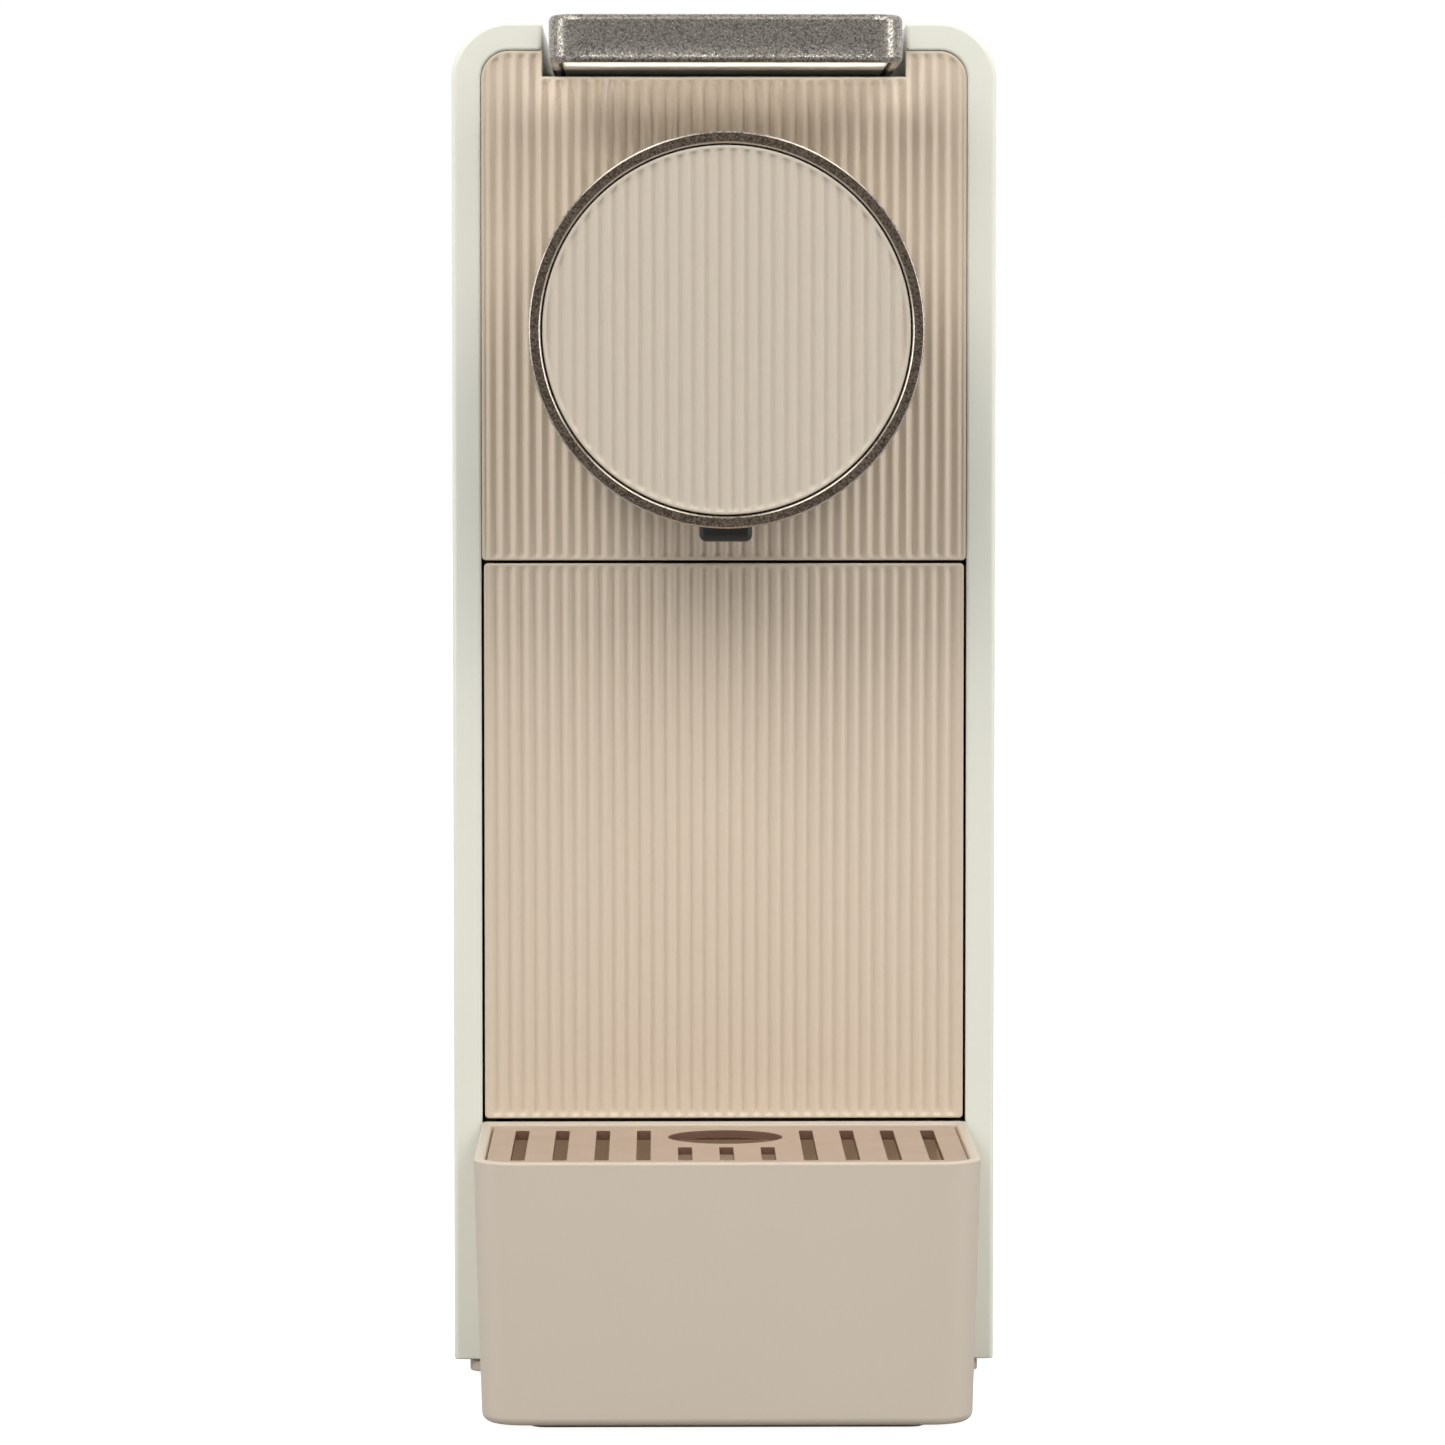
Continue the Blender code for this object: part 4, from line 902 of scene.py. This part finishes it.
def drip_grille():
    """A thin slotted plate, with a skirt round it that rests on the tray's ledges."""
    (_, half), (front, rear), (low, high) = spans("drip_grille")
    plate_low, soft = high - 0.0016, 0.0006
    pitch, slot_half, slots_each_side = 0.00785, 0.0013, 5
    slot_front, long_rear, short_rear = -0.157, -0.111, -0.1366
    hole_y, hole_radius = -0.1213, 0.011

    def outline(inset):
        corner = TRAY_CORNER - THIN - inset
        return pan(half - inset, front + inset, rear - inset, corner, soft, 8)

    holes = [circle((0, hole_y), hole_radius, 96)]
    for i in range(-slots_each_side, slots_each_side + 1):
        x = i * pitch
        slot_rear = short_rear if abs(i) < 2 else long_rear
        holes.append(rectangle((x - slot_half, x + slot_half), (slot_front, slot_rear), soft))
    bm = plate(plate_low, high, 0.00025, outline(0), holes)
    merge(bm, plate(low, plate_low + 0.0004, 0.0002, outline(0.0001), [outline(0.0014)]))

    # the walls of the openings take the second finish, a dark red-brown that is painted shade
    def in_shaded_opening(face):
        middle = face.calc_center_median()
        within = abs(middle.x) < half - THIN and front + THIN < middle.y < rear - THIN
        return within and abs(face.normal.z) < 0.5

    mark(bm, in_shaded_opening)
    grille = show(bm, "drip_grille")
    grille.data.materials.append(FINISHES["grille_slot_shade"])


# ------------------------------------------------------------------ water tank
def tank_outline(half, front, rear):
    """The plan of the tank and of its lid, with larger corners at the rear."""

    def outline(inset, z):
        return pan(half - inset, front + inset, rear - inset, 0.003 - inset, 0.012 - inset)

    return outline


def water_tank():
    """A thin-walled box, open at the top, with two ears that hold the lid's pin."""
    (_, half), (front, rear), (bottom, ear_top) = spans("water_tank")
    top = 0.2495
    bm = bmesh.new()
    profile = [
        (0.006, bottom, 0),
        (0, bottom, 0.0015),
        (0, top, 0.0006),
        (THIN, top, 0.0006),
        (THIN, bottom + THIN, 0.001),
        (0.008, bottom + THIN, 0),
    ]
    stack(bm, tank_outline(half, front, rear), profile)
    ear_front, ear_low, soft = 0.1612, 0.244, 0.0005
    for side in SIDES.values():
        ear = sorted((side * EAR_INNER, side * EAR_OUTER))
        block(bm, ear, (ear_front, rear), (ear_low, ear_top), soft, soft)
    show(bm, "water_tank")


def tank_lid():
    """A flat lid with a notch for each ear of the tank."""
    (_, half), (front, rear), (bottom, top) = spans("tank_lid")
    notch_front, slack, past, soft = 0.1597, 0.0004, 0.002, 0.0002
    bm = bmesh.new()
    profile = [(0.006, bottom, 0), (0, bottom, 0.0004), (0, top, 0.0012), (0.006, top, 0)]
    stack(bm, tank_outline(half, front, rear), profile)
    for side in SIDES.values():
        notch = bmesh.new()
        x = sorted((side * (EAR_INNER - slack), side * (EAR_OUTER + slack)))
        z = (bottom - past, top + past)
        block(notch, x, (notch_front, rear + past), z, soft, soft)
        bm = carve(bm, notch)
    show(bm, "tank_lid")


def button(word):
    """A dished metal cap on its stem."""
    (x0, x1), (y0, y1), (bottom, top) = spans(f"button_{word}")
    radius, dish, cap, stem = (x1 - x0) / 2, 0.0006, 0.004, 0.0025
    axis_cap = 0.0002  # radius of the flat faces that close it at the axis
    section = [
        (axis_cap, top - dish, 0),
        (radius * 0.5, top - dish * 0.72, 0.004),
        (radius - 0.0009, top, 0.0006),
        (radius, top, 0.0004),
        (radius, top - cap, 0.0003),
        (stem, top - cap, 0.0003),
        (stem, bottom, 0.0003),
        (axis_cap, bottom, 0),
    ]
    bm = bmesh.new()
    place = Matrix.Translation(((x0 + x1) / 2, (y0 + y1) / 2, 0))
    turned(bm, place, fillet(section, 5), 96)
    show(bm, f"button_{word}")


# ------------------------------------------------------------------ carried-over pieces
def soften(node, width):
    """A CAD piece keeps its shape and gets welded faces, small edge rounds and even shading."""
    piece = frame["nodes"][node]
    piece.data.materials.clear()
    piece.data.materials.append(FINISHES[SLOT_OF[node]])
    kept_normals = piece.data.attributes.get("custom_normal")
    if kept_normals:
        piece.data.attributes.remove(kept_normals)
    piece.data.shade_smooth()
    weld = piece.modifiers.new("weld", "WELD")
    weld.merge_threshold = 1e-5
    flat = piece.modifiers.new("flat_faces", "DECIMATE")
    flat.decimate_type = "DISSOLVE"
    flat.angle_limit = math.radians(1)
    rounds = piece.modifiers.new("edge_rounds", "BEVEL")
    rounds.width = width
    rounds.segments = 3
    rounds.limit_method = "ANGLE"
    rounds.angle_limit = math.radians(40)
    rounds.use_clamp_overlap = True
    even = piece.modifiers.new("even_normals", "WEIGHTED_NORMAL")
    even.weight = 75


def carried_over():
    """Every CAD piece that nothing replaces, with smaller rounds on the thin ones."""
    thin_pieces = ("_board", "chassis_", "brew_frame", "lever_cam_", "foot_", "inner_shelf")
    for node, piece in frame["nodes"].items():
        if not piece.hide_render:
            soften(node, 0.0002 if any(word in node for word in thin_pieces) else 0.0004)


# ------------------------------------------------------------------ studio
def floor():
    """A plain pale floor, wide enough to reach past the picture."""
    bm = bmesh.new()
    bmesh.ops.create_grid(bm, x_segments=1, y_segments=1, size=6.0)
    mesh = bpy.data.meshes.new("studio_floor")
    bm.to_mesh(mesh)
    bm.free()
    mesh.materials.append(floor_finish())
    ground = bpy.data.objects.new("studio_floor", mesh)
    bpy.context.scene.collection.objects.link(ground)


def surroundings():
    """A white studio: the camera sees white, and the object gets dimmer light, most from behind."""
    front_strength, rear_strength = 0.06, 0.9
    world = bpy.data.worlds.new("studio")
    world.use_nodes = True
    bpy.context.scene.world = world
    nodes, links = world.node_tree.nodes, world.node_tree.links
    background = nodes["Background"]
    background.inputs["Color"].default_value = (1.0, 1.0, 1.0, 1.0)
    way = nodes.new("ShaderNodeSeparateXYZ")
    links.new(nodes.new("ShaderNodeTexCoord").outputs["Generated"], way.inputs["Vector"])
    around = nodes.new("ShaderNodeMapRange")
    around.inputs["From Min"].default_value = -0.1
    around.inputs["From Max"].default_value = 0.5
    around.inputs["To Min"].default_value = front_strength
    around.inputs["To Max"].default_value = rear_strength
    links.new(way.outputs["Y"], around.inputs["Value"])
    path = nodes.new("ShaderNodeLightPath")
    strength = nodes.new("ShaderNodeMapRange")
    strength.inputs["To Max"].default_value = 1.0
    links.new(around.outputs["Result"], strength.inputs["To Min"])
    links.new(path.outputs["Is Camera Ray"], strength.inputs["Value"])
    links.new(strength.outputs["Result"], background.inputs["Strength"])


def softbox(name, azimuth, elevation, size, radiance, aim=(0.0, -0.08, 0.16), distance=2.2):
    """An area light that its aim sees at these angles, in degrees; azimuth 0 is the front."""
    light = bpy.data.lights.new(name, "AREA")
    light.shape = "RECTANGLE"
    light.size, light.size_y = size
    light.energy = radiance * math.pi * size[0] * size[1]
    lamp = bpy.data.objects.new(name, light)
    turn, rise = math.radians(azimuth), math.radians(elevation)
    way = Vector(
        (math.sin(turn) * math.cos(rise), -math.cos(turn) * math.cos(rise), math.sin(rise))
    )
    lamp.location = Vector(aim) + way * distance
    lamp.rotation_euler = (-way).to_track_quat("-Z", "Y").to_euler()
    lamp.visible_camera = False
    bpy.context.scene.collection.objects.link(lamp)
    return light


def lever_cards():
    """Small reflectors that fill the shadow under the closed lever, from both sides and the front."""
    for word, side in SIDES.items():
        aim = (0.0, -0.117, LEVER_BOTTOM)
        card = softbox(f"lever_card_{word}", side * 90, -15, (0.012, 0.018), 3.2, aim, 0.17)
        card.spread = math.radians(3)
    aim = (0.0, -0.10, LEVER_BOTTOM - 0.0024)
    card = softbox("lever_card_flat", 0, -4, (0.08, 0.004), 0.8, aim, 0.19)
    card.spread = math.radians(5)


def studio():
    """The floor, the surroundings and soft lights from above and from the sides."""
    floor()
    surroundings()
    softbox("key_left", -29, 36, (1.1, 1.2), 5.0)
    softbox("key_right", 32, 35, (1.1, 1.2), 4.0)
    softbox("top_left", -66, 62, (1.2, 1.2), 2.5)
    softbox("top_right", 66, 62, (1.2, 1.2), 2.5)
    softbox("side_left", -76, 8, (0.8, 1.6), 3.2)
    softbox("side_right", 74, 8, (0.8, 1.6), 3.8)
    lever_cards()


def camera():
    """The photograph's view: about level with the head, looking slightly down and to the right."""
    looks_down, turns_right = math.radians(3.149), math.radians(0.622)
    view = bpy.data.cameras.new("view")
    view.sensor_width = 36.0
    view.lens = 149.2
    eye = bpy.data.objects.new("view", view)
    eye.location = (-0.013, -1.26983, 0.19313)
    eye.rotation_euler = (math.pi / 2 - looks_down, 0, -turns_right)
    bpy.context.scene.collection.objects.link(eye)
    bpy.context.scene.camera = eye


def main():
    """Builds the replaced pieces, then dresses the rest of the CAD and sets the studio."""
    for word, side in SIDES.items():
        side_cover(word, side)
        button(word)
    front_panels()
    head_disc()
    head_ring()
    head_barrel()
    spout_nozzle()
    lever_skin()
    lever_insert()
    drip_tray()
    drip_grille()
    water_tank()
    tank_lid()
    carried_over()
    studio()
    camera()
    bpy.context.scene.view_settings.view_transform = "Standard"


main()
